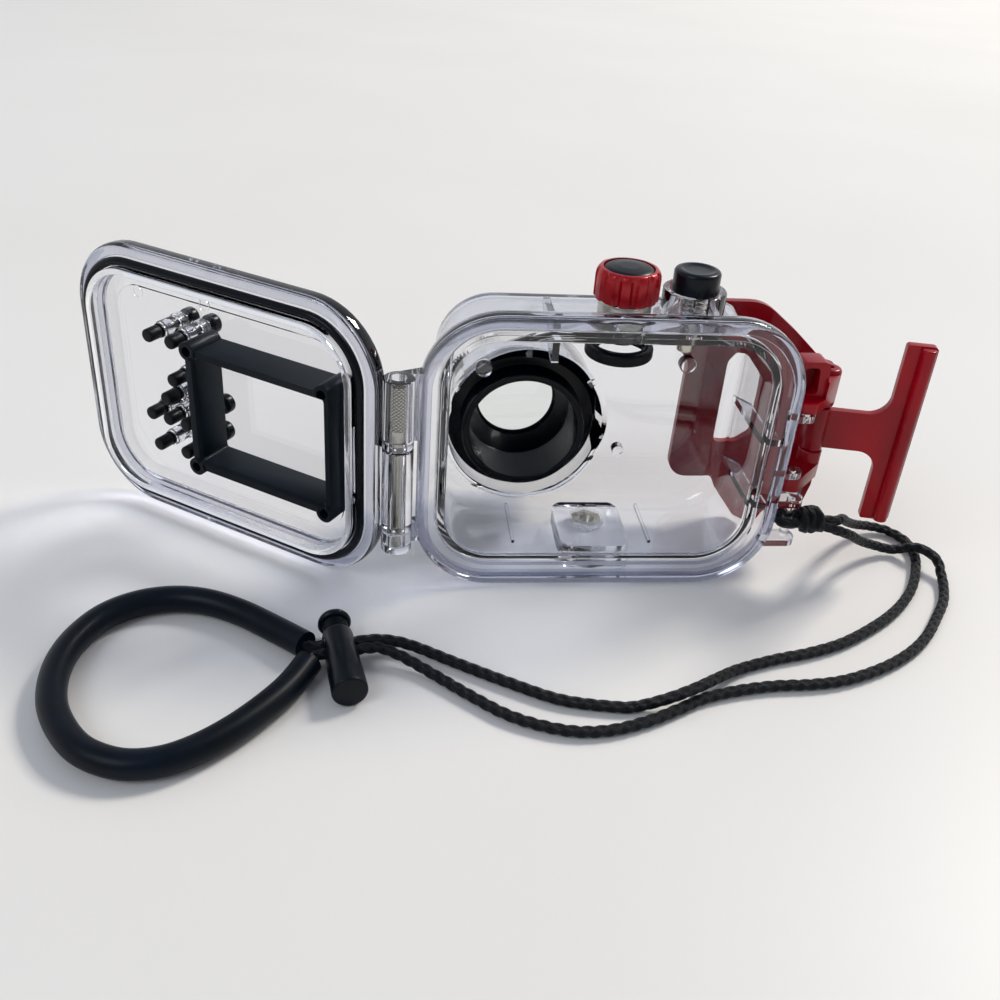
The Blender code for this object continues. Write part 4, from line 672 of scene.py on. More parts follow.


# Body shell: one injection moulding of clear polycarbonate, 3.4 mm thick, that stands on the edge
# of its sealing flange. The port's barrel, tripod foot, shutter guard, hinge knuckles, latch lugs
# and lanyard bracket are part of it. Its outer edges are darkened to lilac grey with painted shade.
GAP = 0.0003
SIDE_X, MIDDLE_Z, SEAL_Y, FRONT_Y, INNER_Y = 0.065, 0.052, -0.004, 0.040, 0.0366
CEILING_Z, TOP_Z = 0.0936, 0.097
PORT, HINGE = (-0.0236, 0.0419), (-0.0716, -0.0073)
DIAL, SHUTTER, LEVER = (0.0035, 0.016), (0.027, 0.017), (0.0686, 0.0005)
LUGS, PIN_HOLE, HINGE_HOLE = (0.0445, 0.0670), 0.0014, 0.0018


def clear_finish(name, middle, edge, index, waviness):
    """Clear moulded plastic or glass: bright face on, and darker and tinted where it turns away, as
    painted shade for the dark reflections along its edges. Light shadows, because most of the light
    comes through."""
    made, tree, shader = finish_of(name, {"Roughness": 0.015, "IOR": index, "Specular IOR Level": 0.36,
                                          "Transmission Weight": 1.0})
    facing = put(tree, "ShaderNodeLayerWeight", {"Blend": 0.35}).outputs["Facing"]
    # Painted shade: the base colour runs from the middle tone to the darker edge tone as the surface turns
    # away.
    toned(tree, facing, shader.inputs["Base Color"], middle, edge, 0.3, 0.92)
    bumped(tree, shader, clouds(tree, 45.0, 1.0), waviness, 0.0008)
    ray = put(tree, "ShaderNodeLightPath")
    through = put(tree, "ShaderNodeBsdfTransparent", {"Color": linear("#D9DCE4")})
    both = put(tree, "ShaderNodeMixShader", {
        0: ray.outputs["Is Shadow Ray"], 1: shader.outputs["BSDF"], 2: through.outputs["BSDF"]})
    tree.links.new(both.outputs["Shader"], tree.nodes["Material Output"].inputs["Surface"])
    return made


polycarbonate = clear_finish("clear_polycarbonate", "#F5F6F9", "#797E9B", 1.585, 0.10)
# Painted shade: a darker lilac grey finish for the faces along the flange's outer edge.
shaded_edge_finish = clear_finish("clear_polycarbonate_edge_shade", "#B9BDD0", "#5F6584", 1.585, 0.10)
FLANGE_CORNER, EDGE_DEPTH = 0.027, 0.0043


def edge_shaded(piece, closed=Matrix()):
    """Give the flange's outer edge, where the eye looks along its whole width, a darker lilac grey as
    painted shade in place of the dark reflections there.
    """
    piece.data.materials.append(shaded_edge_finish)
    for face in piece.data.polygons:
        spot = closed @ face.center
        beside = max(abs(spot.x) - SIDE_X + FLANGE_CORNER, 0)
        beyond = max(abs(spot.z - MIDDLE_Z) - MIDDLE_Z + FLANGE_CORNER, 0)
        inset = FLANGE_CORNER - math.hypot(beside, beyond)
        if -GAP < inset < EDGE_DEPTH and spot.y < GAP - SEAL_Y:
            face.material_index = 1
    return piece


def flange_ring(inset, y, steps=14):
    """The flange's rounded outline, drawn in by an inset."""
    radius = max(FLANGE_CORNER - inset, 0.001)
    made = []
    for quarter, (side, rise) in enumerate(((1, 1), (-1, 1), (-1, -1), (1, -1))):
        x = side * (SIDE_X - inset - radius)
        z = MIDDLE_Z + rise * (MIDDLE_Z - inset - radius)
        for step in range(steps + 1):
            made.append(along("Y", *polar((x, z), radius, math.pi / 2 * (quarter + step / steps)), y))
    return made


def flanged(profile):
    """A profile of insets and depths, led round the flange's outline."""
    return skinned([flange_ring(inset, y) for inset, y in softened(profile)])


tub = flanged([
    (0.0200, INNER_Y, 0), (0.0104, INNER_Y, 0.0046), (0.0104, 0.0, 0.0005), (0.0075, 0.0, 0.0003),
    (0.0075, -0.0018, 0.0003), (0.0042, -0.0018, 0.0003), (0.0042, SEAL_Y, 0.0004), (0.0, SEAL_Y, 0.003),
    (0.0, -SEAL_Y, 0.003), (0.0070, -SEAL_Y, 0.0010), (0.0070, FRONT_Y, 0.008), (0.0200, FRONT_Y, 0)])
port_barrel = lathed([
    (0.0213, 0.068, 0.0003), (0.031, 0.068, 0.0008), (0.031, 0.0371, 0), (0.0285, 0.0371, 0),
    (0.0285, 0.0630, 0.0008), (0.017, 0.0630, 0.0003), (0.017, 0.0645, 0.0003), (0.0213, 0.0645, 0)],
                     PORT, "Y", 96, True)
foot = plate([(0.003 + u * 0.013, 0.023 + v * 0.015, 0.004) for u, v in
              ((-1, -1), (1, -1), (1, 1), (-1, 1))], 0, 0.0087)
BUSH, HEX_RADIUS = (0.003, 0.029), 0.011 / math.sqrt(3)
guard = lathed([(0.0087, TOP_Z + 0.010, 0.0004), (0.01075, TOP_Z + 0.010, 0.0005),
                (0.01075, TOP_Z - 0.001, 0), (0.0087, TOP_Z - 0.001, 0)], SHUTTER, "Z", 56, True)
joined = [foot, guard, rod(0.0042, SHUTTER, CEILING_Z - 0.0046, CEILING_Z + 0.001),
          slab([(0.006, CEILING_Z + 0.001), (0.006, 0.084), (0.010, 0.084), (0.034, 0.0915),
                (0.034, CEILING_Z + 0.001)], -0.0212, -0.0188, "X")]
for x in (-0.0284, 0.0229):
    joined.append(block((x - 0.0005, 0.008, 0.0094), (x + 0.0005, 0.0336, 0.0116)))
for x, z, radius in ((-0.0402, 0.0682, 0.0031), (0.0347, 0.0713, 0.0031), (0.0129, 0.0354, 0.0022)):
    joined.append(rod(radius, (x, z), INNER_Y - 0.0035, INNER_Y + 0.001, "Y", 32, 0.0006))
for low, high in ((0.019, 0.027), (0.059, 0.084)):
    joined.append(rod(0.00525, HINGE, low, high, "Z", 48, 0.0006))
    outline = [(0, 0.00525), (0.0080, 0.0088), (0.0080, 0.0036), (0.0052, 0.0036), (0.0030, 0.0008),
               (0, 0.0008)]
    joined.append(slab([(HINGE[0] + u, HINGE[1] + v) for u, v in outline], low + GAP, high - GAP))
for bearing in (39, 90, 147):
    tab = block((-0.0011, 0.0368, 0.0300), (0.0011, 0.0386, 0.0345))
    tab.transform(Matrix.Translation((PORT[0], 0, PORT[1]))
                  @ Matrix.Rotation(math.radians(90 - bearing), 4, "Y"))
    joined.append(tab)
for low in LUGS:
    joined.append(plate([(0.063, -0.0025, 0), (0.0716, -0.0025, 0.0028), (0.0716, 0.0035, 0.0028),
                         (0.063, 0.0035, 0)], low, low + 0.0025))
for z in (0.031, 0.057):
    joined.append(slab([(0.057, 0.003), (0.0625, 0.003), (0.0625, 0.030), (0.057, 0.038)], z - 0.0013,
                       z + 0.0013))
for low in (0.0168, 0.0332):
    joined.append(plate([(0.061, -0.0035, 0), (0.0742, -0.0035, 0.003), (0.0742, 0.0035, 0.003),
                         (0.061, 0.0035, 0)], low, low + 0.003))
joined.append(rod(0.0017, (0.0705, 0), 0.0178, 0.0352, "Z", 28, 0))


def hexagon(radius):
    """The tripod bush's outline."""
    return [(BUSH[0] + radius * math.sin(math.pi / 3 * k), BUSH[1] + radius * math.cos(math.pi / 3 * k))
            for k in range(6)]


removed = [slab(hexagon(HEX_RADIUS + 2 * GAP), -0.001, 0.006),
           block((0.02465, 0.00525, TOP_Z + 0.0015), (0.02935, 0.017, TOP_Z + 0.011)),
           rod(0.0018, SHUTTER, CEILING_Z - 0.006, TOP_Z + 0.001, "Z", 24, 0),
           rod(0.0068, DIAL, CEILING_Z - 0.002, TOP_Z + 0.001, "Z", 48, 0),
           rod(HINGE_HOLE, HINGE, 0.0207, 0.085, "Z", 40, 0), rod(0.0027, HINGE, 0.0617, 0.085, "Z", 32, 0)]
removed += [rod(PIN_HOLE, LEVER, low - 0.001, low + 0.0035, "Z", 20, 0) for low in LUGS]


def belled(bearing):
    """How far the port's mouth opens out: fully above, not at all below."""
    return max(0.0, math.cos(bearing - math.radians(72))) ** 0.5


MOUTH_RADIUS, MOUTH_FLARE = 0.0284, 0.0053
bell = skinned([[along("Y", *polar(PORT, MOUTH_RADIUS + out * belled(a), a), y)
                 for a in [2 * math.pi * k / 96 for k in range(96)]]
                for out, y in ((MOUTH_FLARE, INNER_Y - 0.001), (MOUTH_FLARE, INNER_Y), (0.0, 0.0427))])
port_hole = rod(0.0295, PORT, INNER_Y - 0.001, FRONT_Y + 0.001, "Y", 96, 0)
shell = assembled(assembled(assembled(tub, cuts=[port_hole]), [port_barrel], [bell]), joined, removed)
shell = settled("shell_moulding", shell, polycarbonate, 28)
fitted(edge_shaded(shell), "housing", "clear_plastic", "body_shell")


# The lens port: a black ABS sleeve keeps stray light off the glass. It stands on a round plate
# inside the barrel, with a flared shield above, narrows to a stop in front, and is glossy inside.
# A flat glass window is bedded on a thin rubber seal.
gloss_black = moulded_black("glossy_moulded_abs", "#01040A", "#050B12", 0.2, 0.06)
PLATE_Y, PLATE_RADIUS, SLEEVE_RADIUS = INNER_Y + 0.009, 0.0282, 0.02315
sleeve = lathed([
    (0.0155, 0.0627, 0.0003), (0.0169, 0.0627, 0.0005), (SLEEVE_RADIUS, 0.0567, 0.0006),
    (SLEEVE_RADIUS, PLATE_Y + 0.002, 0.0004), (PLATE_RADIUS, PLATE_Y + 0.002, 0.0003),
    (PLATE_RADIUS, PLATE_Y, 0.0003), (SLEEVE_RADIUS, PLATE_Y, 0.0004),
    (SLEEVE_RADIUS, INNER_Y - 0.0001, 0.0006), (0.0204, INNER_Y - 0.0001, 0.0006),
    (0.0204, 0.0557, 0.0008)], PORT, "Y", 96, True)
shield = []
for step in range(49):
    bearing = math.radians(6 + 3 * step)
    open_by = max(belled(bearing) * math.sin(math.pi * (step + 1) / 50) ** 0.7, 0.05)
    out, start, end = 0.0048 * open_by, PLATE_Y - 0.0029 * open_by, PLATE_Y - 0.0085 * open_by
    section = ((PLATE_RADIUS, PLATE_Y + 0.001), (PLATE_RADIUS, start), (PLATE_RADIUS + out, end),
               (PLATE_RADIUS - 0.0004 + out, end - 0.0002), (PLATE_RADIUS - 0.0005, start - 0.0002),
               (PLATE_RADIUS - 0.0005, PLATE_Y + 0.001))
    shield.append([along("Y", *polar(PORT, reach, bearing), y) for reach, y in section])
sleeve = assembled(sleeve, [skinned(shield)])
placed("lens_sleeve", sleeve, gloss_black, "housing", "black_plastic", "lens_baffle")
seal_rubber = rubber_finish("silicone_seal_rubber", "#040A10", "#0B131B", 0.26, 500.0)
seal = lathed([(0.0150, 0.0656, 0.0003), (0.021, 0.0656, 0.0003), (0.021, 0.0648, 0.0003),
               (0.0150, 0.0648, 0.0003)], PORT, "Y", 72, True)
placed("glass_seal", seal, seal_rubber, "housing", "black_rubber", "port_seal")
port_window = clear_finish("polished_float_glass", "#F6FAF9", "#8FA6A4", 1.52, 0.0)
placed("glass_disc", rod(0.021, PORT, 0.0659, 0.0680, "Y", 80, 0.0003), port_window, "housing",
       "window", "port_glass")


# The tripod bush: a hexagon of nickel-plated brass, 11 mm across its flats, pressed into the foot.
# Its bore is ringed with fine grooves where the real one has its thread.
plated = metal_finish("nickel_plated_brass", "#A8A391", "#C9C4B2", 0.24)
BUSH_HEIGHT, BUSH_BORE = 0.0051, 0.0027
thread = [(BUSH_BORE + (0.00035 if k % 2 else 0.0), GAP + BUSH_HEIGHT * k / 16) for k in range(17)]
bush = assembled(slab(hexagon(HEX_RADIUS), GAP, GAP + BUSH_HEIGHT), cuts=[
    turned([(0, GAP - 0.001), (BUSH_BORE, GAP - 0.001), *thread, (BUSH_BORE, GAP + BUSH_HEIGHT + 0.001),
            (0, GAP + BUSH_HEIGHT + 0.001)], BUSH, "Z", 36)])
placed("tripod_bush", eased(bush, 0.00025, 2, 50), plated, "housing", "brass", "tripod_insert")


# Hinge pin: a turned stainless steel pin, 3.2 mm thick, dropped in from the top. Its upper 19.5 mm
# is a thicker head with a diamond knurl that grips the upper knuckle.
GROOVES, GROOVE_PITCH = 6, 0.0024
head_low = 0.062
pin = lathed([
    (0, 0.021, 0), (0.0016, 0.021, 0.0004), (0.0016, head_low, 0), (0.0023, head_low, 0.0003),
    (0.0023, 0.0660, 0.0001), (0.0018, 0.0661, 0), (0, 0.0661, 0)], HINGE, "Z", 40)
placed("pin_shank", pin, stainless, "housing", "steel", "hinge_pin")


def knurl(angle, run):
    """Diamonds from two sets of slanted grooves, drawn 1.2 mm broad so that they show."""
    return 0.09 * min(abs(wave) for wave in slanted(angle, run, GROOVES, GROOVE_PITCH)) - 0.04


knurled = stainless.copy()
knurled.name = "knurled_stainless_steel"
tree = knurled.node_tree
# Painted shade: the knurl's grooves are coloured a dark brown-grey and its crests bright steel.
crests = worked(tree, "MINIMUM", *[worked(tree, "ABSOLUTE", wave)
                                   for wave in crossing(tree, GROOVES, GROOVE_PITCH)])
toned(tree, crests, tree.nodes["Principled BSDF"].inputs["Base Color"], "#35332C", "#DAD6C6", 0.15, 0.6)
upright = [Vector((*HINGE, 0.0662 + 0.0001 * k)) for k in range(154)]
fitted(along_route("pin_knurled_head", [upright], 0.0024, 96, knurled, knurl), "housing", "steel",
       "hinge_pin")


# Door: a second clear moulding. A rim carries the gasket's groove, a spigot enters the housing, and
# each push button has a boss inside and a short guard outside. It is made shut and turned open.
DOOR_MATRIX = turn_about(*HINGE, math.radians(-213.9))
FACE_Y, PANEL_Y, BACK_Y = -0.0044, -0.0080, -0.0110
GUARD_Y, BOSS_Y = -0.0140, -0.0020
BUTTONS = {"button_upper_left": (0.0130, 0.0775), "button_upper_right": (0.0230, 0.0775),
           "button_playback": (0.0134, 0.0632), "button_pad_up": (0.0174, 0.0550),
           "button_pad_left": (0.0093, 0.0470), "button_pad_centre": (0.0172, 0.0470),
           "button_pad_right": (0.0251, 0.0470), "button_lower_left": (0.0104, 0.0354),
           "button_lower_right": (0.0230, 0.0350)}
SCREWS = [(x, z) for x in (-0.0516, 0.0039) for z in (0.0329, 0.0774)]
panel = flanged([
    (0.0180, PANEL_Y + 0.0003, 0), (0.0158, PANEL_Y + 0.0003, 0.0001), (0.0155, PANEL_Y, 0.0001),
    (0.0101, PANEL_Y, 0.0008), (0.0101, -0.0004, 0.0006), (0.0078, -0.0004, 0.0006),
    (0.0078, -0.0054, 0.0003), (0.0042, -0.0054, 0.0003), (0.0042, FACE_Y, 0.0004),
    (0.0, FACE_Y, 0.0022), (0.0, BACK_Y, 0.0022), (0.0180, BACK_Y, 0)])
arm = slab([(HINGE[0] + u, HINGE[1] + v) for u, v in (
    (0, -0.00465), (0.0082, -0.0019), (0.0082, 0.0023), (0.0045, 0.0023), (0, 0.0023))], 0.0276, 0.0584)
joined = [arm, rod(0.00525, HINGE, 0.0273, 0.0587, "Z", 48, 0.0006)]
removed = [rod(HINGE_HOLE, HINGE, 0.026, 0.060, "Z", 40, 0)]
for x, z in BUTTONS.values():
    joined.append(rod(0.0031, (x, z), PANEL_Y - 0.001, BOSS_Y, "Y", 36, 0.0005))
    joined.append(rod(0.0035, (x, z), GUARD_Y, BACK_Y + 0.001, "Y", 36, 0.0004))
    removed.append(turned([(0, BOSS_Y + 0.001), (0.0013, BOSS_Y + 0.001), (0.0013, -0.0104),
                           (0.0028, -0.0104), (0.0028, GUARD_Y - 0.001), (0, GUARD_Y - 0.001)],
                          (x, z), "Y", 28))
for spot in ((0.0379, 0.0862), (0.0076, 0.0885)):
    joined.append(turned([(0.0019, PANEL_Y + 0.0004), (0.0023, PANEL_Y + 0.0004), (0.0023, PANEL_Y - 0.0005),
                          (0.0019, PANEL_Y - 0.0005)], spot, "Y", 32, True))
for x, z in SCREWS:
    removed.append(rod(0.0011, (x, z), PANEL_Y - 0.0021, PANEL_Y + 0.001, "Y", 16, 0))
door = assembled(panel, joined, removed)
door.transform(DOOR_MATRIX)
# The door's outer edge gets the same painted shade as the shell's flange edge.
fitted(edge_shaded(settled("door_moulding", door, polycarbonate, 28), DOOR_MATRIX.inverted()), "door",
       "clear_plastic", "door_panel")


# Gasket: a ring of glossy black silicone rubber, 3 mm thick, that lies in the door's groove.
GASKET_RADIUS, GASKET_SEAT = 0.0015, (0.006, -0.0036)
gasket = skinned([flange_ring(*polar(GASKET_SEAT, GASKET_RADIUS, 2 * math.pi * k / 20), 20)
                  for k in range(20)], True)
gasket.transform(DOOR_MATRIX)
placed("seal_ring", gasket, seal_rubber, "door", "black_rubber", "door_gasket", angle=60)


# Screen hood: a frame of matt black rubber round the camera's screen, with a round post in each
# corner that a small screw goes through.
HOOD = (-0.0247, 0.05515)


def hood_outline(grow, corner):
    """The window's outline, let out by a distance."""
    return softened([(HOOD[0] + side * (0.02655 + grow), HOOD[1] + rise * (0.01965 + grow), corner)
                     for side, rise in ((-1, -1), (1, -1), (1, 1), (-1, 1))], True)


hood_y = PANEL_Y + GAP
hood = assembled(slab(hood_outline(0.0033, 0.0008), hood_y, hood_y + 0.0139, "Y"),
                 [rod(0.0033, spot, hood_y + 0.0002, hood_y + 0.0145, "Y", 40, 0.0003) for spot in SCREWS])
window_ways = [turned([(0, hood_y + 0.016), (0.0018, hood_y + 0.016), (0.0018, -0.0018), (0.0011, -0.0018),
                       (0.0011, hood_y - 0.001), (0, hood_y - 0.001)], spot, "Y", 24) for spot in SCREWS]
hood = assembled(hood, cuts=[
    skinned([[along("Y", u, v, w) for u, v in hood_outline(grow, 0.0010)] for grow, w in
             ((0.0, hood_y - 0.001), (0.0, hood_y + 0.0126), (0.0016, hood_y + 0.0150))]),
    block((-0.060, 0.020, hood_y - 0.001), (-0.05395, 0.090, hood_y + 0.020), "Y"), *window_ways])
hood = eased(hood, 0.0004, 2)
hood.transform(DOOR_MATRIX)
placed("hood_frame", hood, soft_rubber, "door", "black_rubber", "screen_hood")


# Hood screws: M1.6 stainless steel, with cheese heads 3 mm across and a cross recess, all four
# set by one node tree on the posts' places.
fixing, given, wanted = shaping("hood_screws", "Head Radius", "Head Height", "Shank Radius", "Shank Length",
                                "Recess Width")


def raised(geometry, height):
    """A shape of the screw moved up its axis."""
    lift = put(fixing, "ShaderNodeCombineXYZ", {"Z": height})
    return put(fixing, "GeometryNodeTransform", {
        "Geometry": geometry, "Translation": lift.outputs["Vector"]}).outputs["Geometry"]


def cylinder(sides, part, extent, share):
    """A round part of the screw, moved by a share of its own length."""
    made = put(fixing, "GeometryNodeMeshCylinder", {
        "Vertices": sides, "Radius": given.outputs[part + " Radius"], "Depth": given.outputs[extent]})
    return raised(made.outputs["Mesh"], worked(fixing, "MULTIPLY", given.outputs[extent], share))


head = cylinder(28, "Head", "Head Height", 0.5)
shank = cylinder(14, "Shank", "Shank Length", -0.5)
reach = worked(fixing, "MULTIPLY", given.outputs["Head Radius"], 1.3)
cross = put(fixing, "GeometryNodeMeshBoolean", {}, operation="UNION")
for first, second in (("X", "Y"), ("Y", "X")):
    extent = put(fixing, "ShaderNodeCombineXYZ", {
        first: reach, second: given.outputs["Recess Width"], "Z": given.outputs["Head Height"]})
    bar_cube = put(fixing, "GeometryNodeMeshCube", {"Size": extent.outputs["Vector"]})
    fixing.links.new(raised(bar_cube.outputs["Mesh"], given.outputs["Head Height"]), cross.inputs["Mesh 2"])
slotted = put(fixing, "GeometryNodeMeshBoolean", {"Mesh 1": head, "Mesh 2": cross.outputs["Mesh"]},
              operation="DIFFERENCE")
one_screw = put(fixing, "GeometryNodeJoinGeometry", {"Geometry": slotted.outputs["Mesh"]})
fixing.links.new(shank, one_screw.inputs["Geometry"])
spread = put(fixing, "GeometryNodeInstanceOnPoints", {
    "Points": given.outputs["Geometry"], "Instance": one_screw.outputs["Geometry"],
    "Rotation": (-math.pi / 2, 0, 0)})
dressed(fixing, spread.outputs["Instances"], stainless)
bm = shaped("screw_seats", [(x, -0.0015, z) for x, z in SCREWS], fixing, wanted, {
    "Head Radius": 0.0015, "Head Height": 0.0012, "Shank Radius": 0.0008, "Shank Length": 0.0083,
    "Recess Width": 0.0004})
bmesh.ops.remove_doubles(bm, verts=bm.verts, dist=0.000001)
bm.transform(DOOR_MATRIX)
placed("cross_head_screws", bm, stainless, "door", "steel",
       "hood_screw_1", "hood_screw_2", "hood_screw_3", "hood_screw_4")


# Push buttons: a black ABS head outside, on a thin stem that runs through the door, with a collar
# and a soft black rubber tip inside. A coil spring under each head pushes it out.
button_black = moulded_black("satin_moulded_abs", "#020A11", "#09141D", 0.28, 0.12)
tip_rubber = rubber_finish("moulded_tip_rubber", "#02060A", "#090F14", 0.42)
for name, spot in BUTTONS.items():
    key = lathed([(0, 0.0032, 0), (0.001, 0.0032, 0.0002), (0.001, -0.0008, 0), (0.0026, -0.0008, 0.0002),
                  (0.0026, -0.0017, 0.0002), (0.001, -0.0017, 0), (0.001, -0.0165, 0),
                  (0.0036, -0.0165, 0.0003), (0.0036, -0.0200, 0.0008), (0.0018, -0.0200, 0.0006),
                  (0, -0.0198, 0)], spot, "Y", 40)
    key.transform(DOOR_MATRIX)
    placed(name + "_key", key, button_black, name, "black_plastic", name)
    tip = lathed([(0, 0.0050, 0), (0.0024, 0.0050, 0.0007), (0.0024, -0.0005, 0.0003),
                  (0.0013, -0.0005, 0.0001), (0.0013, 0.0035, 0), (0, 0.0035, 0)], spot, "Y", 36)
    tip.transform(DOOR_MATRIX)
    placed(name + "_pad", tip, tip_rubber, name, "black_rubber", name + "_tip")
    place = (DOOR_MATRIX @ Matrix.Translation((spot[0], -0.0107, spot[1]))
             @ Matrix.Rotation(math.pi / 2, 4, "X"))
    spring(name + "_coil", 0.0021, 0.0005, 0.0055, 3, place, "door", name + "_spring")


# Mode dial: a red anodised aluminium knob with twelve flutes and a black cap, on a turned steel
# collar. Its shaft runs through a black gland to a slotted wheel with a soft rubber tyre inside.
KNOB_Z, KNOB_TOP = 0.1036, 0.1142
anodised = metal_finish("red_anodised_aluminium", "#94000C", "#BE0016", 0.26,
                        {"Metallic": 0.35, "Coat Weight": 0.15, "Coat Roughness": 0.15})


def fluted(radius, z, depth):
    """A round outline with twelve flutes between broad lands."""
    made = []
    for i in range(144):
        a = 2 * math.pi * i / 144
        dip = depth * max(0.0, math.cos(12 * a)) ** 0.8
        made.append((*polar(DIAL, radius - dip, a), z))
    return made


outlines = [fluted(*level) for level in (
    (0.0102, KNOB_Z, 0.0009), (0.0107, KNOB_Z + 0.0002, 0.0012), (0.0109, KNOB_Z + 0.0007, 0.0013),
    (0.0109, KNOB_TOP - 0.0034, 0.0013), (0.0108, KNOB_TOP - 0.0020, 0.0011),
    (0.0104, KNOB_TOP - 0.0009, 0.0007), (0.0098, KNOB_TOP - 0.0002, 0.0002), (0.0092, KNOB_TOP, 0.0))]
knob = assembled(skinned(outlines), cuts=[
    rod(0.0086, DIAL, KNOB_TOP - 0.0015, KNOB_TOP + 0.001, "Z", 72, 0),
    rod(0.0033, DIAL, KNOB_Z - 0.001, KNOB_TOP - 0.0024, "Z", 40, 0)])
placed("fluted_knob", knob, anodised, "mode_dial", "red_metal", "mode_dial")
cap = lathed([(0, KNOB_TOP + 0.0006, 0), (0.0035, KNOB_TOP + 0.0006, 0.003),
              (0.0070, KNOB_TOP + 0.0002, 0.003), (0.0083, KNOB_TOP - 0.0004, 0.0005),
              (0.0083, KNOB_TOP - 0.0012, 0), (0, KNOB_TOP - 0.0012, 0)], DIAL, "Z", 72)
placed("knob_cap", cap, nylon, "mode_dial", "black_plastic", "dial_cap")
sleeve = lathed([(0.0033, 0.1033, 0), (0.009, 0.1033, 0.0006), (0.009, 0.0985, 0.0002),
                 (0.0087, 0.0983, 0.0002), (0.009, 0.0980, 0.0002), (0.009, 0.0973, 0.0002),
                 (0.0033, 0.0973, 0)], DIAL, "Z", 72, True)
placed("knob_collar", sleeve, stainless, "housing", "steel", "dial_collar")
gland = lathed([(0.0033, 0.0967, 0.0002), (0.0065, 0.0967, 0.0002), (0.0065, 0.0902, 0.0005),
                (0.0033, 0.0902, 0.0005)], DIAL, "Z", 56, True)
placed("shaft_gland", gland, gloss_black, "housing", "black_plastic", "dial_gland")
placed("knob_shaft", rod(0.003, DIAL, 0.0884, 0.1115, "Z", 40, 0.0003), stainless, "mode_dial", "steel",
       "dial_shaft")
slots = []
for middle in (-math.pi / 2, math.pi / 2):
    turns = [middle + math.radians(150) * (k / 18 - 0.5) for k in range(19)]
    outline = [polar(DIAL, 0.0088, a) for a in turns] + [polar(DIAL, 0.0056, a) for a in reversed(turns)]
    slots.append(slab(outline, 0.080, 0.095))
wheel = assembled(lathed([
    (0.0033, 0.0899, 0.0002), (0.0058, 0.0899, 0.0005), (0.0093, 0.0872, 0.0005), (0.0093, 0.0850, 0.0003),
    (0.0088, 0.0850, 0.0002), (0.0085, 0.0864, 0.0004), (0.0054, 0.0889, 0.0004), (0.0033, 0.0889, 0.0002)],
                         DIAL, "Z", 72, True), cuts=slots)
placed("finger_wheel", wheel, button_black, "mode_dial", "black_plastic", "dial_wheel")
tyre = lathed([(0.0095, 0.0872, 0.0005), (0.0117, 0.0872, 0.0009), (0.0117, 0.0832, 0.0009),
               (0.0095, 0.0832, 0.0005)], DIAL, "Z", 80, True)
placed("wheel_tyre", tyre, tip_rubber, "mode_dial", "black_rubber", "dial_tyre")


# Shutter button: a dished cap of black ABS, 15.7 mm across, on a steel stem with a pad inside. An
# open coil spring of 0.9 mm wire holds it up in its clear guard.
cap = lathed([(0, 0.1134, 0), (0.0042, 0.1134, 0.004), (0.0058, 0.1140, 0.0012), (0.00785, 0.1136, 0.0014),
              (0.00785, 0.1060, 0.0005), (0.0018, 0.1060, 0), (0.0018, 0.1123, 0), (0, 0.1123, 0)],
             SHUTTER, "Z", 72)
placed("shutter_cap", cap, button_black, "shutter_button", "black_plastic", "shutter_button")
stem = lathed([(0, 0.112, 0), (0.0015, 0.112, 0.0002), (0.0015, 0.0887, 0), (0.003, 0.0887, 0.0003),
               (0.003, 0.0847, 0.0007), (0, 0.0847, 0)], SHUTTER, "Z", 40)
placed("shutter_rod", stem, stainless, "shutter_button", "steel", "shutter_stem")
spring("shutter_coil", 0.0042, 0.0009, 0.0084, 5, Matrix.Translation((*SHUTTER, 0.0973)), "housing",
       "shutter_spring")


# Latch lever: a band of glossy red ABS that wraps the housing's front corner, cut away for a finger
# and for the view. Its fork turns on two steel pins in the flange's lugs, under a hollow box.
# The plastic is dyed a deep red, with faint flow marks and fine polishing scratches.
red_abs, tree, shader = finish_of("glossy_red_abs", {
    "Roughness": 0.28, "Specular IOR Level": 0.25, "Coat Weight": 0.12, "Coat Roughness": 0.08})
toned(tree, clouds(tree, 35.0, 3.0), shader.inputs["Base Color"], "#7C000E", "#A60016", 0.3, 0.7)
bumped(tree, shader, clouds(tree, 260.0, 4.0), 0.12, 0.00006)
HOOK = (0.079, 0.013)
band = plate([
    (0.021, 0.0416, 0), (0.066, 0.0416, 0.006), (0.0757, 0.036, 0.006), (0.0802, 0.026, 0.006),
    (0.0802, 0.014, 0), (0.0832, 0.014, 0), (0.0832, 0.027, 0.006), (0.0792, 0.0385, 0.006),
    (0.0672, 0.0446, 0.008), (0.021, 0.0446, 0)], 0.001, 0.096)
view = plate([
    (0.021, 0.0935, 0.004), (0.0620, 0.0935, 0.016), (0.0740, 0.0845, 0.012), (0.0845, 0.0755, 0.002),
    (0.0845, 0.0385, 0), (0.0812, 0.0240, 0.006), (0.0750, 0.0040, 0.002), (0.0690, 0.0030, 0.002),
    (0.0607, 0.0120, 0.006), (0.0545, 0.0207, 0.004), (0.0357, 0.0207, 0.0075), (0.0363, 0.070, 0.006),
    (0.031, 0.077, 0.006), (0.021, 0.081, 0.002)], -0.01, 0.06, "Y")
window = plate([
    (0.052, 0.0365, 0.003), (0.052, 0.0705, 0.004), (0.056, 0.074, 0.002), (0.0625, 0.073, 0.004),
    (0.069, 0.066, 0.004), (0.069, 0.040, 0.004), (0.0635, 0.0355, 0.004)], 0.030, 0.06, "Y")
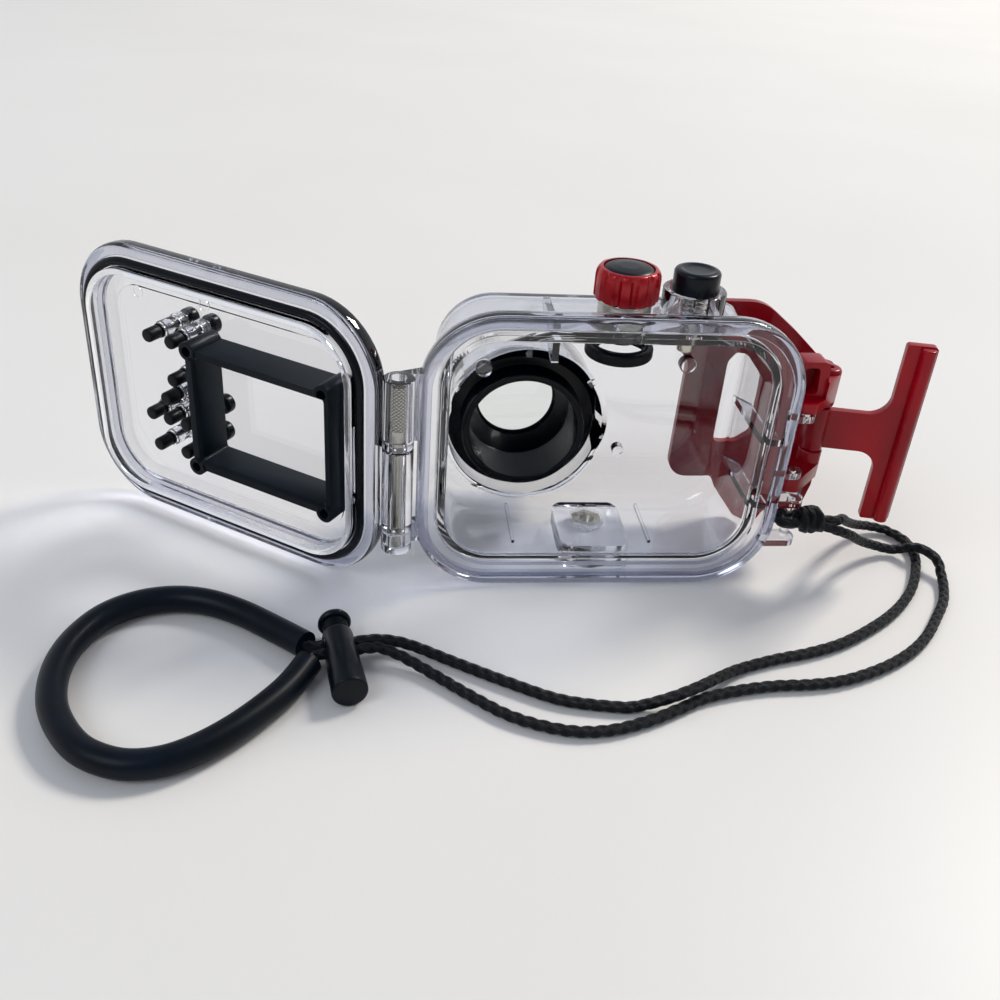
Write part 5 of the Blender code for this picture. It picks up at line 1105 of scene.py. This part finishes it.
fork = softened([
    (LEVER[0] + 0.0022, LEVER[1] - 0.0022, 0.0018), (0.0827, HOOK[1] - 0.0025, 0.003),
    (0.0827, HOOK[1] + 0.008, 0), (0.0787, HOOK[1] + 0.012, 0), (0.0717, HOOK[1] + 0.006, 0.004),
    (LEVER[0] - 0.0024, LEVER[1] + 0.0022, 0.002), (LEVER[0] - 0.0028, LEVER[1] - 0.001, 0.001)], True)
LUG_LOW, LUG_HIGH, FORK_LOW, FORK_HIGH = 0.0442, 0.0698, 0.0386, 0.0800
BOX_Y, BOX_TOP = 0.0048, 0.0866
KNUCKLE_LOW, KNUCKLE_HIGH = 0.0495, 0.0665
face = plate([(0.0654, LUG_HIGH + 0.0012, 0.0005), (0.0764, LUG_HIGH + 0.0012, 0.0005),
              (0.0752, BOX_TOP, 0.0024), (0.0654, BOX_TOP, 0.0016)],
             BOX_Y, BOX_Y + 0.0080, "Y")
pocket = plate([(0.0664, LUG_HIGH + 0.0050, 0.0012), (0.0726, LUG_HIGH + 0.0050, 0.0012),
                (0.0718, BOX_TOP - 0.0022, 0.0014), (0.0664, BOX_TOP - 0.0022, 0.0014)],
               BOX_Y - 0.001, BOX_Y + 0.0058, "Y")
relief = block((0.0600, -0.0080, LUG_HIGH + 0.0037), (0.0752, BOX_Y, BOX_TOP + 0.002))
PINS = {"lower_latch_pin": (LEVER, 0.0410, 0.0468), "upper_latch_pin": (LEVER, 0.0672, 0.0730),
        "hook_pin": (HOOK, 0.0405, 0.0790)}
added = [slab(fork, FORK_LOW, LUG_LOW), slab(fork, LUG_HIGH, FORK_HIGH),
         rod(0.0042, HOOK, 0.0385, KNUCKLE_LOW - GAP, "Z", 40, 0.0006),
         rod(0.0042, HOOK, KNUCKLE_HIGH + GAP, 0.0815, "Z", 40, 0.0014), face]
removed = [window, block((HOOK[0] - 0.006, HOOK[1] - 0.006, KNUCKLE_LOW - GAP),
                         (HOOK[0] + 0.006, HOOK[1] + 0.005, KNUCKLE_HIGH + GAP)), pocket, relief]
for middle, low, high in ((LEVER, 0.0410, 0.0470), (LEVER, 0.0670, 0.0730), (HOOK, 0.0402, 0.0820)):
    removed.append(rod(PIN_HOLE, middle, low, high, "Z", 24, 0))
lever = eased(assembled(band, added, removed, [view]), 0.0006, 3)
placed("lever_moulding", lever, red_abs, "latch_lever", "red_plastic", "latch_lever", angle=40)
for node, (middle, low, high) in PINS.items():
    placed(node + "_bar", rod(0.0011, middle, low, high, "Z", 28, 0.0002), stainless, "latch_lever",
           "steel", node)


# Latch hook: a flat T of the same red ABS, 3 mm thick, that turns on a pin in the lever. A rounded
# lip along its tall cross bar grips the door's rim, and its edges are well rounded.
BAR_LOW, BAR_HIGH, HOOK_TURN = 0.023, 0.093, math.radians(-12)
tee = softened([(0, KNUCKLE_LOW + 0.001, 0), (0.0235, KNUCKLE_LOW + 0.001, 0.007), (0.0235, BAR_LOW, 0.001),
                (0.034, BAR_LOW, 0.0015), (0.034, BAR_HIGH, 0.0015), (0.0235, BAR_HIGH, 0.001),
                (0.0235, KNUCKLE_HIGH - 0.001, 0.007), (0, KNUCKLE_HIGH - 0.001, 0)], True)
hook = assembled(slab([(HOOK[0] + u, w) for u, w in tee], HOOK[1] - 0.0015, HOOK[1] + 0.0015, "Y"), [
    rod(0.0026, (HOOK[0] + 0.0307, HOOK[1] - 0.0024), BAR_LOW + 0.0005, BAR_HIGH - 0.0005, "Z", 36, 0.0006),
    rod(0.0039, HOOK, KNUCKLE_LOW, KNUCKLE_HIGH, "Z", 40, 0.0003)],
                 [rod(PIN_HOLE, HOOK, KNUCKLE_LOW - 0.001, KNUCKLE_HIGH + 0.001, "Z", 24, 0)])
placed("hook_moulding", swung(eased(hook, 0.0006, 3), *HOOK, HOOK_TURN), red_abs, "latch_hook",
       "red_plastic", "latch_hook", angle=40)
